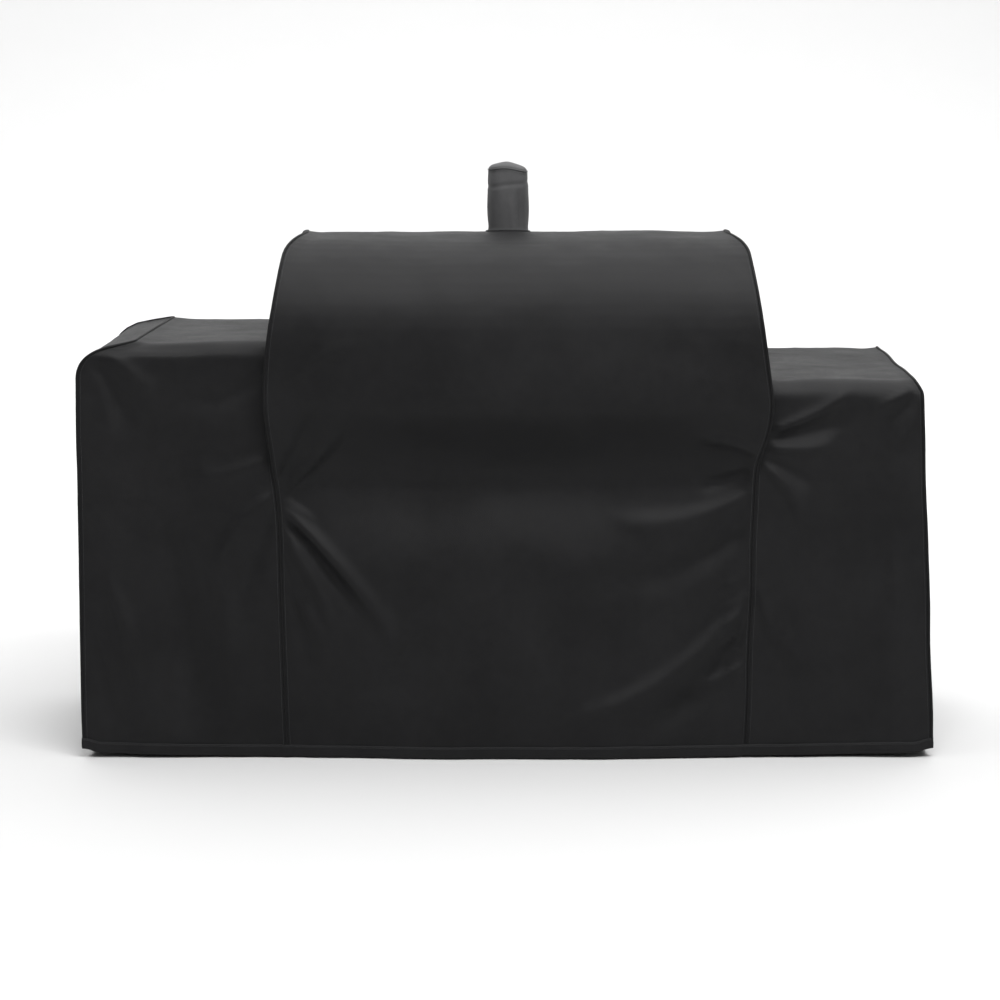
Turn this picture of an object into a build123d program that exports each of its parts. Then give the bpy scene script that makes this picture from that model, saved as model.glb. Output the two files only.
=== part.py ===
"""Fitted cloth cover for a wide combination barbecue.

Millimetres, +X to the right, +Y to the back, +Z up. The origin is on the floor, under the middle of the cover.
Three bays stand side by side: a low left bay, a tall hooded centre bay with a chimney sleeve, and a lower
right bay. Each bay is one strip of cloth from the front hem, over the top, to the back hem. End panels close
the two ends, gussets close the sides of the hood above the bays beside it, and piping runs along the seams.
Every large piece is a side view crossed with a front view, so that neighbours meet face to face.
"""

import os

from build123d import *

# Cloth and trim
CLOTH = 3.0  # coated cloth with its lining
PIPING = 3.0  # how far the piping stands proud of the cloth
SEAM = 5.0  # width of cloth that the piping takes up
HEM_HEIGHT = 28.0
HEM_PROUD = 1.0
WEBBING = 3.0
PATCH = 2.0
CLEARANCE = 0.6  # between a moving piece and what it lies on

# Room for the sketches, larger than the cover
REACH = 1300.0
CELLAR = -60.0
CEILING = 1500.0

# Side view: Y is the depth and Z the height
FRONT_HEM_Y = -285.0
BACK_HEM_Y = 325.0
FRONT_SLOPE = 0.022
BACK_SLOPE = 0.015
MIDDLE_Y = 20.0
SHELF_RADIUS = 46.0
LEFT_TOP = (980.0, 986.0)  # height of the left bay at its front and back
RIGHT_TOP = (890.0, 912.0)
TUCK_HEIGHT = 650.0
BELLY = (-322.0, 836.0)
SHOULDER = (-318.0, 1200.0)
CREST = (0.0, 1221.0)
BACK_SHOULDER = (294.0, 1196.0)
BACK_EAVE_HEIGHT = 1040.0

# Front view: X is the width and Z the height
LEFT_HEM_X = -1000.0
RIGHT_HEM_X = 1000.0
LEFT_SLOPE = 0.006
RIGHT_SLOPE = 0.050
LEFT_CORNER_RADIUS = 66.0
RIGHT_CORNER_RADIUS = 26.0

# Chimney sleeve
CHIMNEY_Y = 80.0
CHIMNEY_RADIUS = 48.0
CHIMNEY_TOP = 1366.0
CAP_RISE = 17.0
BINDING = 2.0

# Vents in the back of the centre bay
VENT_X = 290.0
VENT_HEIGHT = 880.0
VENT_SIZE = (240.0, 56.0)
VENT_BORDER = 14.0
MESH = 1.2
MESH_PITCH = 9.0
MESH_HOLE = 6.4
FLAP_WIDTH = 296.0
FLAP_DROP = 110.0
FLAP_HINGE = 52.0  # height of the flap's fold above the middle of the vent

# Lifting handles on the end panels
HANDLE_HEIGHT = 640.0
HANDLE_SPAN = 190.0
HANDLE_DROP = 92.0
HANDLE_BEND = 46.0
HANDLE_STAND_OFF = 3.6
WEBBING_WIDTH = 30.0
GRIP = (90.0, 38.0, 8.6)

# Cinch straps near the hem of the end panels
STRAP_HEIGHT = 118.0
STRAP_WIDTH = 25.0
RING_WIRE = 2.0
RING_SIZE = (20.0, 31.0)  # between wire centres
RING_MIDDLE = 52.0
RING_STAND_OFF = 6.4
TAB_END = 120.0
STRAP_START = -172.0
TAIL_LENGTH = 104.0
TAPE = 1.2


def front_y(z):
    """Depth of the front plane that the three bays share."""
    return FRONT_HEM_Y + FRONT_SLOPE * z


def back_y(z):
    return BACK_HEM_Y - BACK_SLOPE * z


def left_x(z):
    return LEFT_HEM_X + LEFT_SLOPE * z


def right_x(z):
    return RIGHT_HEM_X - RIGHT_SLOPE * z


def region(points, radii, grow=0.0, bottom=HEM_HEIGHT, top=CEILING):
    """Face inside a rounded outline, grown all round and kept between two heights."""
    with BuildSketch() as face:
        with BuildLine():
            outline = FilletPolyline(*points, radius=radii)
            Line(outline @ 1, outline @ 0)
        make_face()
        if grow:
            offset(amount=grow)
        with Locations((0, (bottom + top) / 2)):
            Rectangle(2 * REACH, top - bottom, mode=Mode.INTERSECT)
    return face.sketch


def hood_side(grow=0.0):
    """Side view of the centre bay."""
    points = [
        (front_y(CELLAR), CELLAR),
        (front_y(TUCK_HEIGHT), TUCK_HEIGHT),
        BELLY,
        SHOULDER,
        CREST,
        BACK_SHOULDER,
        (back_y(BACK_EAVE_HEIGHT), BACK_EAVE_HEIGHT),
        (back_y(CELLAR), CELLAR),
    ]
    return region(points, [90, 150, 225, 900, 90, 200], grow)


def shelf_side(heights, grow=0.0, bottom=HEM_HEIGHT, top=CEILING):
    """Side view of a side bay, from its heights at the front and the back."""
    front, back = heights
    points = [
        (front_y(CELLAR), CELLAR),
        (front_y(front), front),
        (back_y(back), back),
        (back_y(CELLAR), CELLAR),
    ]
    return region(points, SHELF_RADIUS, grow, bottom, top)


def hood_front(grow=0.0):
    """Front view of the centre bay between its two long seams, open at the top."""
    points = [
        (-519, CELLAR),
        (-533, 612),
        (-568, 872),
        (-515, 1206),
        (-424, 1236),
        (-424, CEILING + 99),
        (474, CEILING + 99),
        (474, 1234),
        (554, 1206),
        (613, 812),
        (577, 700),
        (559, CELLAR),
    ]
    return region(points, [900, 900, 55, 9, 9, 9, 9, 50, 290, 150], grow)


def left_front(grow=0.0):
    """Front view of the left bay, open at the top and run on behind the centre bay."""
    points = [
        (left_x(CELLAR), CELLAR),
        (left_x(932), 932),
        (-944, 965),
        (-800, 993),
        (-800, CEILING + 99),
        (0, CEILING + 99),
        (0, CELLAR),
    ]
    return region(points, [LEFT_CORNER_RADIUS, 120, 9, 9, 9], grow)


def right_front(grow=0.0):
    points = [
        (right_x(CELLAR), CELLAR),
        (right_x(866), 866),
        (924, 921),
        (924, CEILING + 99),
        (0, CEILING + 99),
        (0, CELLAR),
    ]
    return region(points, [RIGHT_CORNER_RADIUS, 9, 9, 9], grow)


def skirt_front(grow=0.0):
    """Front view of the hem."""
    points = [
        (left_x(CELLAR), CELLAR),
        (left_x(200), 200),
        (right_x(200), 200),
        (right_x(CELLAR), CELLAR),
    ]
    return region(points, 1, grow, bottom=0, top=HEM_HEIGHT)


def half(side):
    """Everything to one side of the upright axis of a view."""
    with BuildSketch() as face:
        with Locations((side * REACH / 2, 0)):
            Rectangle(REACH, 3 * CEILING)
    return face.sketch


def crossed(side_view, front_view):
    """The solid that has the given side view and front view."""
    with BuildPart() as body:
        with BuildSketch(Plane.YZ):
            add(side_view)
        extrude(amount=REACH, both=True)
        with BuildSketch(Plane.XZ):
            add(front_view)
        extrude(amount=REACH, both=True, mode=Mode.INTERSECT)
    return body


def wall(x, y, z, outward):
    """Plane lying on the cover's outside: its X is level, its Y runs up and its Z points outwards."""
    return Plane(origin=(x, y, z), x_dir=Vector(0, 0, 1).cross(Vector(*outward)), z_dir=outward)


def slab(plane, centres, size, base, thickness, corner=3.0):
    """Flat rounded rectangles on a wall, starting at a distance from it."""
    with BuildPart() as body:
        with BuildSketch(plane.offset(base)):
            with Locations(*centres):
                RectangleRounded(*size, corner)
        extrude(amount=thickness)
    return body


def rolled(plane, width, axis, arm):
    """Webbing wrapped round a wire, with one flat arm: a profile along the wall, extruded up it."""
    across = Plane(origin=plane.origin, x_dir=plane.x_dir, z_dir=-plane.y_dir)
    arm_start, arm_end, arm_base = arm
    with BuildPart() as body:
        with BuildSketch(across):
            with Locations(axis):
                Circle(RING_WIRE + 0.4 + WEBBING)
            with Locations(((arm_start + arm_end) / 2, arm_base + WEBBING / 2)):
                Rectangle(abs(arm_end - arm_start), WEBBING)
            with Locations(axis):
                Circle(RING_WIRE + 0.4, mode=Mode.SUBTRACT)
        extrude(amount=width / 2, both=True)
    return body


def save(piece, name):
    piece.part.label = name
    export_step(piece.part, f"parts/{name}.step")


os.makedirs("parts", exist_ok=True)

vent_walls = {
    "left": wall(-VENT_X, back_y(VENT_HEIGHT), VENT_HEIGHT, (0, 1, BACK_SLOPE)),
    "right": wall(VENT_X, back_y(VENT_HEIGHT), VENT_HEIGHT, (0, 1, BACK_SLOPE)),
}
end_outward = {"left": (-1, 0, LEFT_SLOPE), "right": (1, 0, RIGHT_SLOPE)}
end_x = {"left": left_x, "right": right_x}
sides = {"left": -1, "right": 1}
tops = {"left": LEFT_TOP, "right": RIGHT_TOP}
end_fronts = {"left": left_front, "right": right_front}

# Chimney sleeve: slightly barrelled, standing in a round hole in the centre strip
chimney_axis = Axis((0, CHIMNEY_Y, 0), (0, 0, 1))
chimney_plane = Plane(origin=(0, CHIMNEY_Y, 0), x_dir=(1, 0, 0), z_dir=(0, -1, 0))


def chimney_barrel(radius):
    with BuildPart() as body:
        with BuildSketch(chimney_plane):
            with BuildLine():
                ThreePointArc((radius - 2, 1150), (radius, 1280), (radius - 2, CHIMNEY_TOP))
                Polyline((radius - 2, CHIMNEY_TOP), (0, CHIMNEY_TOP), (0, 1150), (radius - 2, 1150))
            make_face()
        revolve(axis=chimney_axis)
    return body


hood_inside = crossed(hood_side(-CLOTH), half(-1) + half(1))

with BuildPart() as chimney_sleeve:
    add(chimney_barrel(CHIMNEY_RADIUS).part)
    add(chimney_barrel(CHIMNEY_RADIUS - CLOTH).part, mode=Mode.SUBTRACT)
    add(hood_inside.part, mode=Mode.SUBTRACT)
save(chimney_sleeve, "chimney_sleeve")

rim = CHIMNEY_RADIUS - 2
with BuildPart() as chimney_cap:
    with BuildSketch(chimney_plane):
        for radius, rise, mode in ((rim, CAP_RISE, Mode.ADD), (rim - CLOTH, CAP_RISE - CLOTH, Mode.SUBTRACT)):
            with BuildLine():
                ThreePointArc((-radius, CHIMNEY_TOP), (0, CHIMNEY_TOP + rise), (radius, CHIMNEY_TOP))
                Line((radius, CHIMNEY_TOP), (-radius, CHIMNEY_TOP))
            make_face(mode=mode)
        with Locations((-REACH / 2, CHIMNEY_TOP)):
            Rectangle(REACH, REACH, mode=Mode.SUBTRACT)
    revolve(axis=chimney_axis)
save(chimney_cap, "chimney_cap")

with BuildPart() as chimney_top_binding:
    with BuildSketch(chimney_plane):
        with Locations((CHIMNEY_RADIUS / 2, CHIMNEY_TOP - 6)):
            Rectangle(CHIMNEY_RADIUS + 2 * BINDING - 2, 12)
        with Locations((0, CHIMNEY_TOP - 6)):
            Rectangle(60, 12, mode=Mode.SUBTRACT)
    revolve(axis=chimney_axis)
    add(chimney_barrel(CHIMNEY_RADIUS).part, mode=Mode.SUBTRACT)
save(chimney_top_binding, "chimney_top_binding")

with BuildPart() as chimney_base_binding:
    add(crossed(hood_side(PIPING) - hood_side(), half(-1) + half(1)).part)
    with Locations((0, CHIMNEY_Y, CHIMNEY_TOP)):
        Cylinder(CHIMNEY_RADIUS + 6, 600, mode=Mode.INTERSECT)
    add(chimney_barrel(CHIMNEY_RADIUS).part, mode=Mode.SUBTRACT)
save(chimney_base_binding, "chimney_base_binding")

# Centre strip, with the chimney's hole and the two vents
with BuildPart() as centre_panel:
    add(crossed(hood_side() - hood_side(-CLOTH), hood_front(-SEAM)).part)
    add(chimney_barrel(CHIMNEY_RADIUS).part, mode=Mode.SUBTRACT)
    for plane in vent_walls.values():
        with BuildSketch(plane):
            Rectangle(*VENT_SIZE)
        extrude(amount=4 * CLOTH, both=True, mode=Mode.SUBTRACT)
save(centre_panel, "centre_panel")

for name, side in sides.items():
    top = tops[name]
    end_front = end_fronts[name]
    own_half = half(side)
    strip = shelf_side(top) - shelf_side(top, -CLOTH)
    proud_strip = shelf_side(top, PIPING) - shelf_side(top, -CLOTH)
    hood_seam = (hood_front(PIPING) - hood_front(-SEAM)) & own_half
    beyond_hood = own_half - hood_front(PIPING)

    panel = crossed(strip, (end_front(-SEAM) & own_half) - hood_front(PIPING))
    save(panel, f"{name}_panel")

    end_panel = crossed(shelf_side(top, -CLOTH), (end_front() - end_front(-CLOTH)) & beyond_hood)
    save(end_panel, f"{name}_end_panel")

    end_piping = crossed(proud_strip, (end_front(PIPING) - end_front(-SEAM)) & beyond_hood)
    save(end_piping, f"end_piping_{name}")

    hood_piping = crossed(hood_side(PIPING) - hood_side(-CLOTH), hood_seam)
    save(hood_piping, f"hood_piping_{name}")

    gusset = crossed(
        hood_side(-CLOTH) - shelf_side(top),
        (hood_front() - hood_front(-CLOTH)) & own_half,
    )
    save(gusset, f"hood_gusset_{name}")

    gusset_piping = crossed(
        proud_strip & hood_side(-CLOTH),
        (hood_front(PIPING) - hood_front()) & own_half,
    )
    save(gusset_piping, f"gusset_piping_{name}")

# Hem: a folded band round the foot of every panel
hem_outside = shelf_side(LEFT_TOP, HEM_PROUD, 0, HEM_HEIGHT)
hem_inside = shelf_side(LEFT_TOP, -CLOTH - HEM_PROUD, 0, HEM_HEIGHT)
hem_ends = skirt_front(HEM_PROUD) - skirt_front(-CLOTH - HEM_PROUD)
for name, side in {"front": -1, "back": 1}.items():
    hem = crossed((hem_outside - hem_inside) & half(side), skirt_front(HEM_PROUD))
    save(hem, f"hem_{name}")
for name, side in sides.items():
    hem = crossed(hem_inside, hem_ends & half(side))
    save(hem, f"hem_{name}")

# Vents: mesh in the hole, a border sewn round it and a loose flap that hangs over both
for name, plane in vent_walls.items():
    with BuildPart() as mesh:
        with BuildSketch(plane.offset(-MESH)):
            Rectangle(*VENT_SIZE)
            with GridLocations(MESH_PITCH, MESH_PITCH, 26, 6):
                Rectangle(MESH_HOLE, MESH_HOLE, mode=Mode.SUBTRACT)
        extrude(amount=MESH)
    save(mesh, f"vent_mesh_{name}")

    with BuildPart() as border:
        with BuildSketch(plane):
            RectangleRounded(VENT_SIZE[0] + 2 * VENT_BORDER, VENT_SIZE[1] + 2 * VENT_BORDER, 4)
            Rectangle(*VENT_SIZE, mode=Mode.SUBTRACT)
        extrude(amount=PATCH)
    save(border, f"vent_border_{name}")

    flap_base = PATCH + 2 * CLEARANCE
    flap_top = FLAP_HINGE - CLEARANCE
    flap_middle = flap_top - FLAP_DROP / 2
    with BuildPart() as flap:
        with BuildSketch(plane.offset(flap_base)):
            with Locations((0, flap_middle)):
                Rectangle(FLAP_WIDTH, FLAP_DROP)
        extrude(amount=CLOTH)
    save(flap, f"vent_flap_{name}")

    with BuildPart() as flap_binding:
        with BuildSketch(plane.offset(PATCH + CLEARANCE)):
            with Locations((0, flap_middle - BINDING / 2)):
                Rectangle(FLAP_WIDTH + 2 * BINDING, FLAP_DROP + BINDING)
            with Locations((0, flap_middle)):
                Rectangle(FLAP_WIDTH, FLAP_DROP, mode=Mode.SUBTRACT)
        extrude(amount=CLOTH + 2 * CLEARANCE)
    save(flap_binding, f"flap_binding_{name}")

    tape = slab(plane, [(0, FLAP_HINGE + 11)], (FLAP_WIDTH, 17), 0, PATCH + CLOTH, 1)
    save(tape, f"flap_tape_{name}")

# Lifting handles: a webbing loop that hangs from two sewn ends and folds up about the line between them
for name, outward in end_outward.items():
    plane = wall(end_x[name](HANDLE_HEIGHT), MIDDLE_Y, HANDLE_HEIGHT, outward)
    feet = (-HANDLE_SPAN / 2, HANDLE_SPAN / 2)
    patches = slab(plane, [(x, 18) for x in feet], (48, 60), 0, PATCH)
    save(patches, f"handle_patches_{name}")

    ends = slab(plane, [(x, 21) for x in feet], (WEBBING_WIDTH, 38), PATCH, WEBBING - 0.5, 1)
    save(ends, f"handle_ends_{name}")

    with BuildPart() as loop:
        with BuildSketch(plane.offset(HANDLE_STAND_OFF)):
            with BuildLine():
                FilletPolyline(
                    (feet[0], -CLEARANCE),
                    (feet[0], -HANDLE_DROP),
                    (feet[1], -HANDLE_DROP),
                    (feet[1], -CLEARANCE),
                    radius=HANDLE_BEND,
                )
            trace(line_width=WEBBING_WIDTH)
        extrude(amount=WEBBING)
    save(loop, f"handle_loop_{name}")

    length, width, thickness = GRIP
    with BuildPart() as grip:
        grip_base = HANDLE_STAND_OFF + (WEBBING - thickness) / 2
        with BuildSketch(plane.offset(grip_base)):
            with Locations((0, -HANDLE_DROP)):
                RectangleRounded(length, width, 6)
        extrude(amount=thickness)
        fillet(grip.edges().filter_by(GeomType.LINE).group_by(SortBy.LENGTH)[-1], radius=2.4)
        add(loop.part, mode=Mode.SUBTRACT)
    save(grip, f"handle_grip_{name}")

# Cinch straps: a ring held by a tab, a strap that reaches it and a hook-and-loop tail folded back
for name, outward in end_outward.items():
    to_front = -sides[name]
    plane = wall(end_x[name](STRAP_HEIGHT), MIDDLE_Y, STRAP_HEIGHT, outward)
    tab_bar = (RING_MIDDLE + RING_SIZE[0] / 2) * to_front
    tail_bar = (RING_MIDDLE - RING_SIZE[0] / 2) * to_front

    patches = slab(plane, [(x * to_front, 0) for x in (96, -148)], (52, 42), 0, PATCH)
    save(patches, f"strap_patches_{name}")

    with BuildPart() as ring:
        with BuildLine(plane.offset(RING_STAND_OFF)) as ring_path:
            corners = [
                (RING_MIDDLE * to_front + x * RING_SIZE[0] / 2, y * RING_SIZE[1] / 2)
                for x, y in ((-1, -1), (1, -1), (1, 1), (-1, 1))
            ]
            FilletPolyline(*corners, radius=3, close=True)
        with BuildSketch(Plane(origin=ring_path.wires()[0] @ 0, z_dir=ring_path.wires()[0] % 0)):
            Circle(RING_WIRE)
        sweep(path=ring_path.wires()[0], transition=Transition.RIGHT)
    save(ring, f"strap_ring_{name}")

    tab = rolled(plane, STRAP_WIDTH, (tab_bar, RING_STAND_OFF), (tab_bar, TAB_END * to_front, PATCH))
    save(tab, f"strap_tab_{name}")

    strap_end = tail_bar - (RING_WIRE + 1 + WEBBING) * to_front
    strap_start = STRAP_START * to_front
    strap_middle = (strap_start + strap_end) / 2
    strap = slab(plane, [(strap_middle, 0)], (abs(strap_end - strap_start), STRAP_WIDTH), PATCH, WEBBING, 1)
    save(strap, f"strap_{name}")

    tail_base = RING_STAND_OFF + RING_WIRE + 0.4
    tail_end = tail_bar - TAIL_LENGTH * to_front
    tail = rolled(plane, STRAP_WIDTH, (tail_bar, RING_STAND_OFF), (tail_bar, tail_end, tail_base))
    save(tail, f"strap_tail_{name}")

    tape_middle = tail_bar - 74 * to_front
    hooks = slab(plane, [(tape_middle, 0)], (52, 21), tail_base - TAPE, TAPE, 2)
    save(hooks, f"hook_tape_{name}")
    loops = slab(plane, [(tape_middle, 0)], (84, 21), PATCH + WEBBING, TAPE, 2)
    save(loops, f"loop_tape_{name}")
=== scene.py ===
"""Looks of the grill cover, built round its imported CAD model.

Every panel of cloth is a grid laid over the shape it has in the CAD, then moved by the folds, slack and
puckers of hanging cloth. Neighbouring panels share their seam lines, and piping follows each long seam.
"""

import math

import bpy
import numpy as np
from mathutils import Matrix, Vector


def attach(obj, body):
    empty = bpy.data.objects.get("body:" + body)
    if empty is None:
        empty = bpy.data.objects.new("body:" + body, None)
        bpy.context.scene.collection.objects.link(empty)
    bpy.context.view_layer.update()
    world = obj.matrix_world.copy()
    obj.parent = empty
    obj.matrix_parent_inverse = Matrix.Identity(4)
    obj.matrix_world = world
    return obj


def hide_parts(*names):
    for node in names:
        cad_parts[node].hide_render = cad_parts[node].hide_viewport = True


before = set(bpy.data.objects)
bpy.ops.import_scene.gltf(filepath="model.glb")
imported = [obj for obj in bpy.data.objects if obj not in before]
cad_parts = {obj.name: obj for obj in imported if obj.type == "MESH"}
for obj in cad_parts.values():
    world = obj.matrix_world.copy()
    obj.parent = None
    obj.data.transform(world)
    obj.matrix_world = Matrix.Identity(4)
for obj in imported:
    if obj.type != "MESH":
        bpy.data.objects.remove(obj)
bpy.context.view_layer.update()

# ---------------------------------------------------------------- sizes, in metres
FRONT_HEM_Y = -0.285
BACK_HEM_Y = 0.325
FRONT_SLOPE = 0.022
BACK_SLOPE = 0.015
MIDDLE_Y = 0.020
LEFT_SLOPE = 0.006
RIGHT_SLOPE = 0.050
SHELF_RADIUS = 0.046
SHELF_TOP = {"left": (0.980, 0.986), "right": (0.890, 0.912)}
HEM_CORNER_LIFT = 0.010
HEM_SIDE_LIFT = 0.010
CLOTH = 0.0011
PIPING_RADIUS = 0.0034
CHIMNEY_Y = 0.080
CHIMNEY_RADIUS = 0.048
CHIMNEY_TOP = 1.366
VENT_X = 0.290
VENT_Z = 0.880
VENT_WIDTH = 0.240
VENT_HEIGHT = 0.056
VENT_BORDER = 0.014
FLAP_WIDTH = 0.296
FLAP_DROP = 0.110
FLAP_HINGE = 0.052
HANDLE_Z = 0.640
HANDLE_SPAN = 0.190
HANDLE_DROP = 0.092
HANDLE_BEND = 0.046
HANDLE_MIDDLE_N = 0.0051
WEBBING_WIDTH = 0.030
GRIP = (0.090, 0.038, 0.0086)
STRAP_Z = 0.118
STRAP_WIDTH = 0.025
STRAP_THICKNESS = 0.0024
STRAP_START = -0.172
TAB_END = 0.120
TAIL_LENGTH = 0.104
RING_MIDDLE = 0.052
RING_PITCH = 0.020
RING_WIRE = 0.0020
RING_N = 0.0064
SIDES = {"left": -1, "right": 1}
END_SLOPE = {"left": LEFT_SLOPE, "right": RIGHT_SLOPE}
PANEL_FOOT = 0.018  # the panels' grids start here, inside the fold of the hem
PANEL_CELL = 0.0105
NEAR_SEAM = (0.0035, 0.0075, 0.012, 0.018, 0.026)  # columns of a grid beside its seams
FRONT_ROWS = 0.0085
BACK_ROWS = 0.014
BACK_ROWS_Y = 0.24  # rows behind this are BACK_ROWS apart
BACK_FROM_Y = 0.2  # points behind this are on the back
END_FROM_X = 0.9  # points outside this are on the two ends
SEAM_REACH = 0.034  # a seam holds the cloth this far away from itself
PUCKER_PITCH = 0.021
PUCKER_DEPTH = 0.0011
STITCH_PITCH = 0.0036
STITCH_LENGTH = 0.0027
THREAD_RADIUS = 0.00042
# how strongly the fold tables below are used
FRONT_STRENGTH = {"centre": 1.15, "left": 1.15, "right": 1.10}
BACK_STRENGTH = 0.80
CENTRE_X = 0.02  # middle of the hood's strip
CENTRE_HALF = 0.56
TUCK_Z = 0.662  # under the hood the strip is drawn in, deepest at about this height
TUCK_DEPTH = 0.040
GUSSET_FOOT = 0.640  # the gusset starts here on the front
# typical sizes of the end and gusset grids, which only space their lines
END_WIDTH = 0.60
END_CELL = 0.012
END_ROWS = 96
GUSSET_HEIGHT = 0.30
GUSSET_CELL = 0.010
GUSSET_COLUMNS = 110
PATCH_BASE = -0.0012  # a patch starts just under the cloth it is sewn on
PATCH_RISE = 0.0032
HANDLE_PATCH = (0.048, 0.060)
HANDLE_PATCH_B = 0.018
STRAP_PATCH = (0.052, 0.042)
STRAP_PATCHES = (0.096, -0.148)  # how far the patches are from the middle, towards the front
LOOP_TAPE = (0.084, 0.021)
HOOK_TAPE = (0.052, 0.021)
FLOOR_FAR = 120.0
BACKDROP_Y = 13.0
CAMERA_PLACE = (0, -5.98, 1.62)
CAMERA_AIM = (0, 0.02, 0.64)


def front_y(z):
    return FRONT_HEM_Y + FRONT_SLOPE * z


def back_y(z):
    return BACK_HEM_Y - BACK_SLOPE * z


def end_x(side, z):
    return -1.0 + LEFT_SLOPE * z if side == "left" else 1.0 - RIGHT_SLOPE * z


# ---------------------------------------------------------------- outlines
def unit(vectors):
    return vectors / np.maximum(np.linalg.norm(vectors, axis=-1, keepdims=True), 1e-12)


def lengths(path):
    """Distance along a polyline at each of its points."""
    return np.concatenate([[0], np.cumsum(np.linalg.norm(np.diff(path, axis=0), axis=1))])


def read_at(wanted, run, rows):
    """The rows of a table, read at other distances along its run."""
    return np.stack([np.interp(wanted, run, column) for column in rows.T], axis=-1)


def resampled(points, step):
    """The same polyline with points a step apart."""
    points = np.asarray(points, float)
    along = lengths(points)
    count = max(2, int(round(along[-1] / step)) + 1)
    return read_at(np.linspace(0, along[-1], count), along, points)


def rounded(points, radii, step=0.004):
    """Polyline through the points, with each inner corner rounded to an arc."""
    points = [np.array(p, float) for p in points]
    out = [points[0]]
    for before, corner, after, radius in zip(points, points[1:], points[2:], radii):
        back = (before - corner) / np.linalg.norm(before - corner)
        ahead = (after - corner) / np.linalg.norm(after - corner)
        half = math.acos(np.clip(back @ ahead, -1, 1)) / 2
        centre = corner + (back + ahead) / np.linalg.norm(back + ahead) * radius / math.sin(half)
        start = corner + back * radius / math.tan(half) - centre
        turn = math.pi - 2 * half
        sign = 1 if start[1] * back[0] - start[0] * back[1] > 0 else -1
        for k in range(13):
            cos, sin = math.cos(sign * turn * k / 12), math.sin(sign * turn * k / 12)
            out.append(centre + (start[0] * cos - start[1] * sin, start[0] * sin + start[1] * cos))
    out.append(points[-1])
    return resampled(out, step)


HOOD_SIDE = rounded(
    [
        (front_y(0), 0),
        (front_y(0.650), 0.650),
        (-0.322, 0.836),
        (-0.318, 1.200),
        (0, 1.221),
        (0.294, 1.196),
        (back_y(1.040), 1.040),
        (back_y(0), 0),
    ],
    [0.090, 0.150, 0.225, 0.900, 0.090, 0.200],
)
SHELF_SIDE = {
    side: rounded(
        [(front_y(0), 0), (front_y(front), front), (back_y(back), back), (back_y(0), 0)],
        [SHELF_RADIUS, SHELF_RADIUS],
    )
    for side, (front, back) in SHELF_TOP.items()
}
HOOD_OUTLINE = {
    "left": rounded(
        [(-0.519, 0), (-0.533, 0.612), (-0.568, 0.872), (-0.515, 1.206), (-0.424, 1.236)],
        [0.900, 0.900, 0.055],
    ),
    "right": rounded(
        [(0.559, 0), (0.577, 0.700), (0.613, 0.812), (0.554, 1.206), (0.474, 1.234)],
        [0.150, 0.290, 0.050],
    ),
}
END_OUTLINE = {
    "left": rounded(
        [(-1.0, 0), (end_x("left", 0.932), 0.932), (-0.944, 0.965), (-0.800, 0.993)],
        [0.066, 0.120],
    ),
    "right": rounded([(1.0, 0), (end_x("right", 0.866), 0.866), (0.924, 0.921)], [0.026]),
}


def across(outline, z):
    """X of an outline at height z."""
    return np.interp(z, outline[:, 1], outline[:, 0])


# ---------------------------------------------------------------- noise and folds
def smooth(value, low, high):
    t = np.clip((value - low) / (high - low), 0, 1)
    return t * t * (3 - 2 * t)


def lattice(cell, seed):
    """A fixed random number from -1 to 1 for each whole-number cell."""
    mixed = np.sin(cell @ np.array([127.1, 311.7, 74.7]) + seed * 19.19) * 43758.5453
    return 2 * (mixed - np.floor(mixed)) - 1


def noise(points, size, seed):
    """Smooth random field, about -1 to 1, with features of the given size: one number or three."""
    p = points / np.asarray(size, float)
    cell = np.floor(p)
    t = p - cell
    t = t * t * t * (t * (6 * t - 15) + 10)
    total = np.zeros(p.shape[:-1])
    for corner in np.ndindex(2, 2, 2):
        corner = np.array(corner)
        weight = np.prod(np.where(corner == 1, t, 1 - t), axis=-1)
        total = total + weight * lattice(cell + corner, seed)
    return total


def crease(points, size, seed):
    """Field of soft ridges with sharper crests, from 0 to 1."""
    return 1 - np.sqrt(np.abs(noise(points, size, seed)) + 0.02)


def fold(x, z, start, end, width, height, bend, sharp):
    """A fold that leaves a seam at start, widens and dies out at end. Height is positive outwards."""
    along = np.array(end) - np.array(start)
    length = np.linalg.norm(along)
    dx, dz = along / length
    t = ((x - start[0]) * dx + (z - start[1]) * dz) / length
    off = (z - start[1]) * dx - (x - start[0]) * dz - 4 * bend * t * (1 - t)
    spread = width * (0.5 + 0.8 * np.clip(t, 0, 1))
    spread = np.where(off > 0, spread, spread / sharp)
    taper = smooth(t, -0.10, 0.16) * (1 - smooth(t, 0.62, 1.08))
    return height * taper * np.exp(-((off / spread) ** 2))


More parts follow.
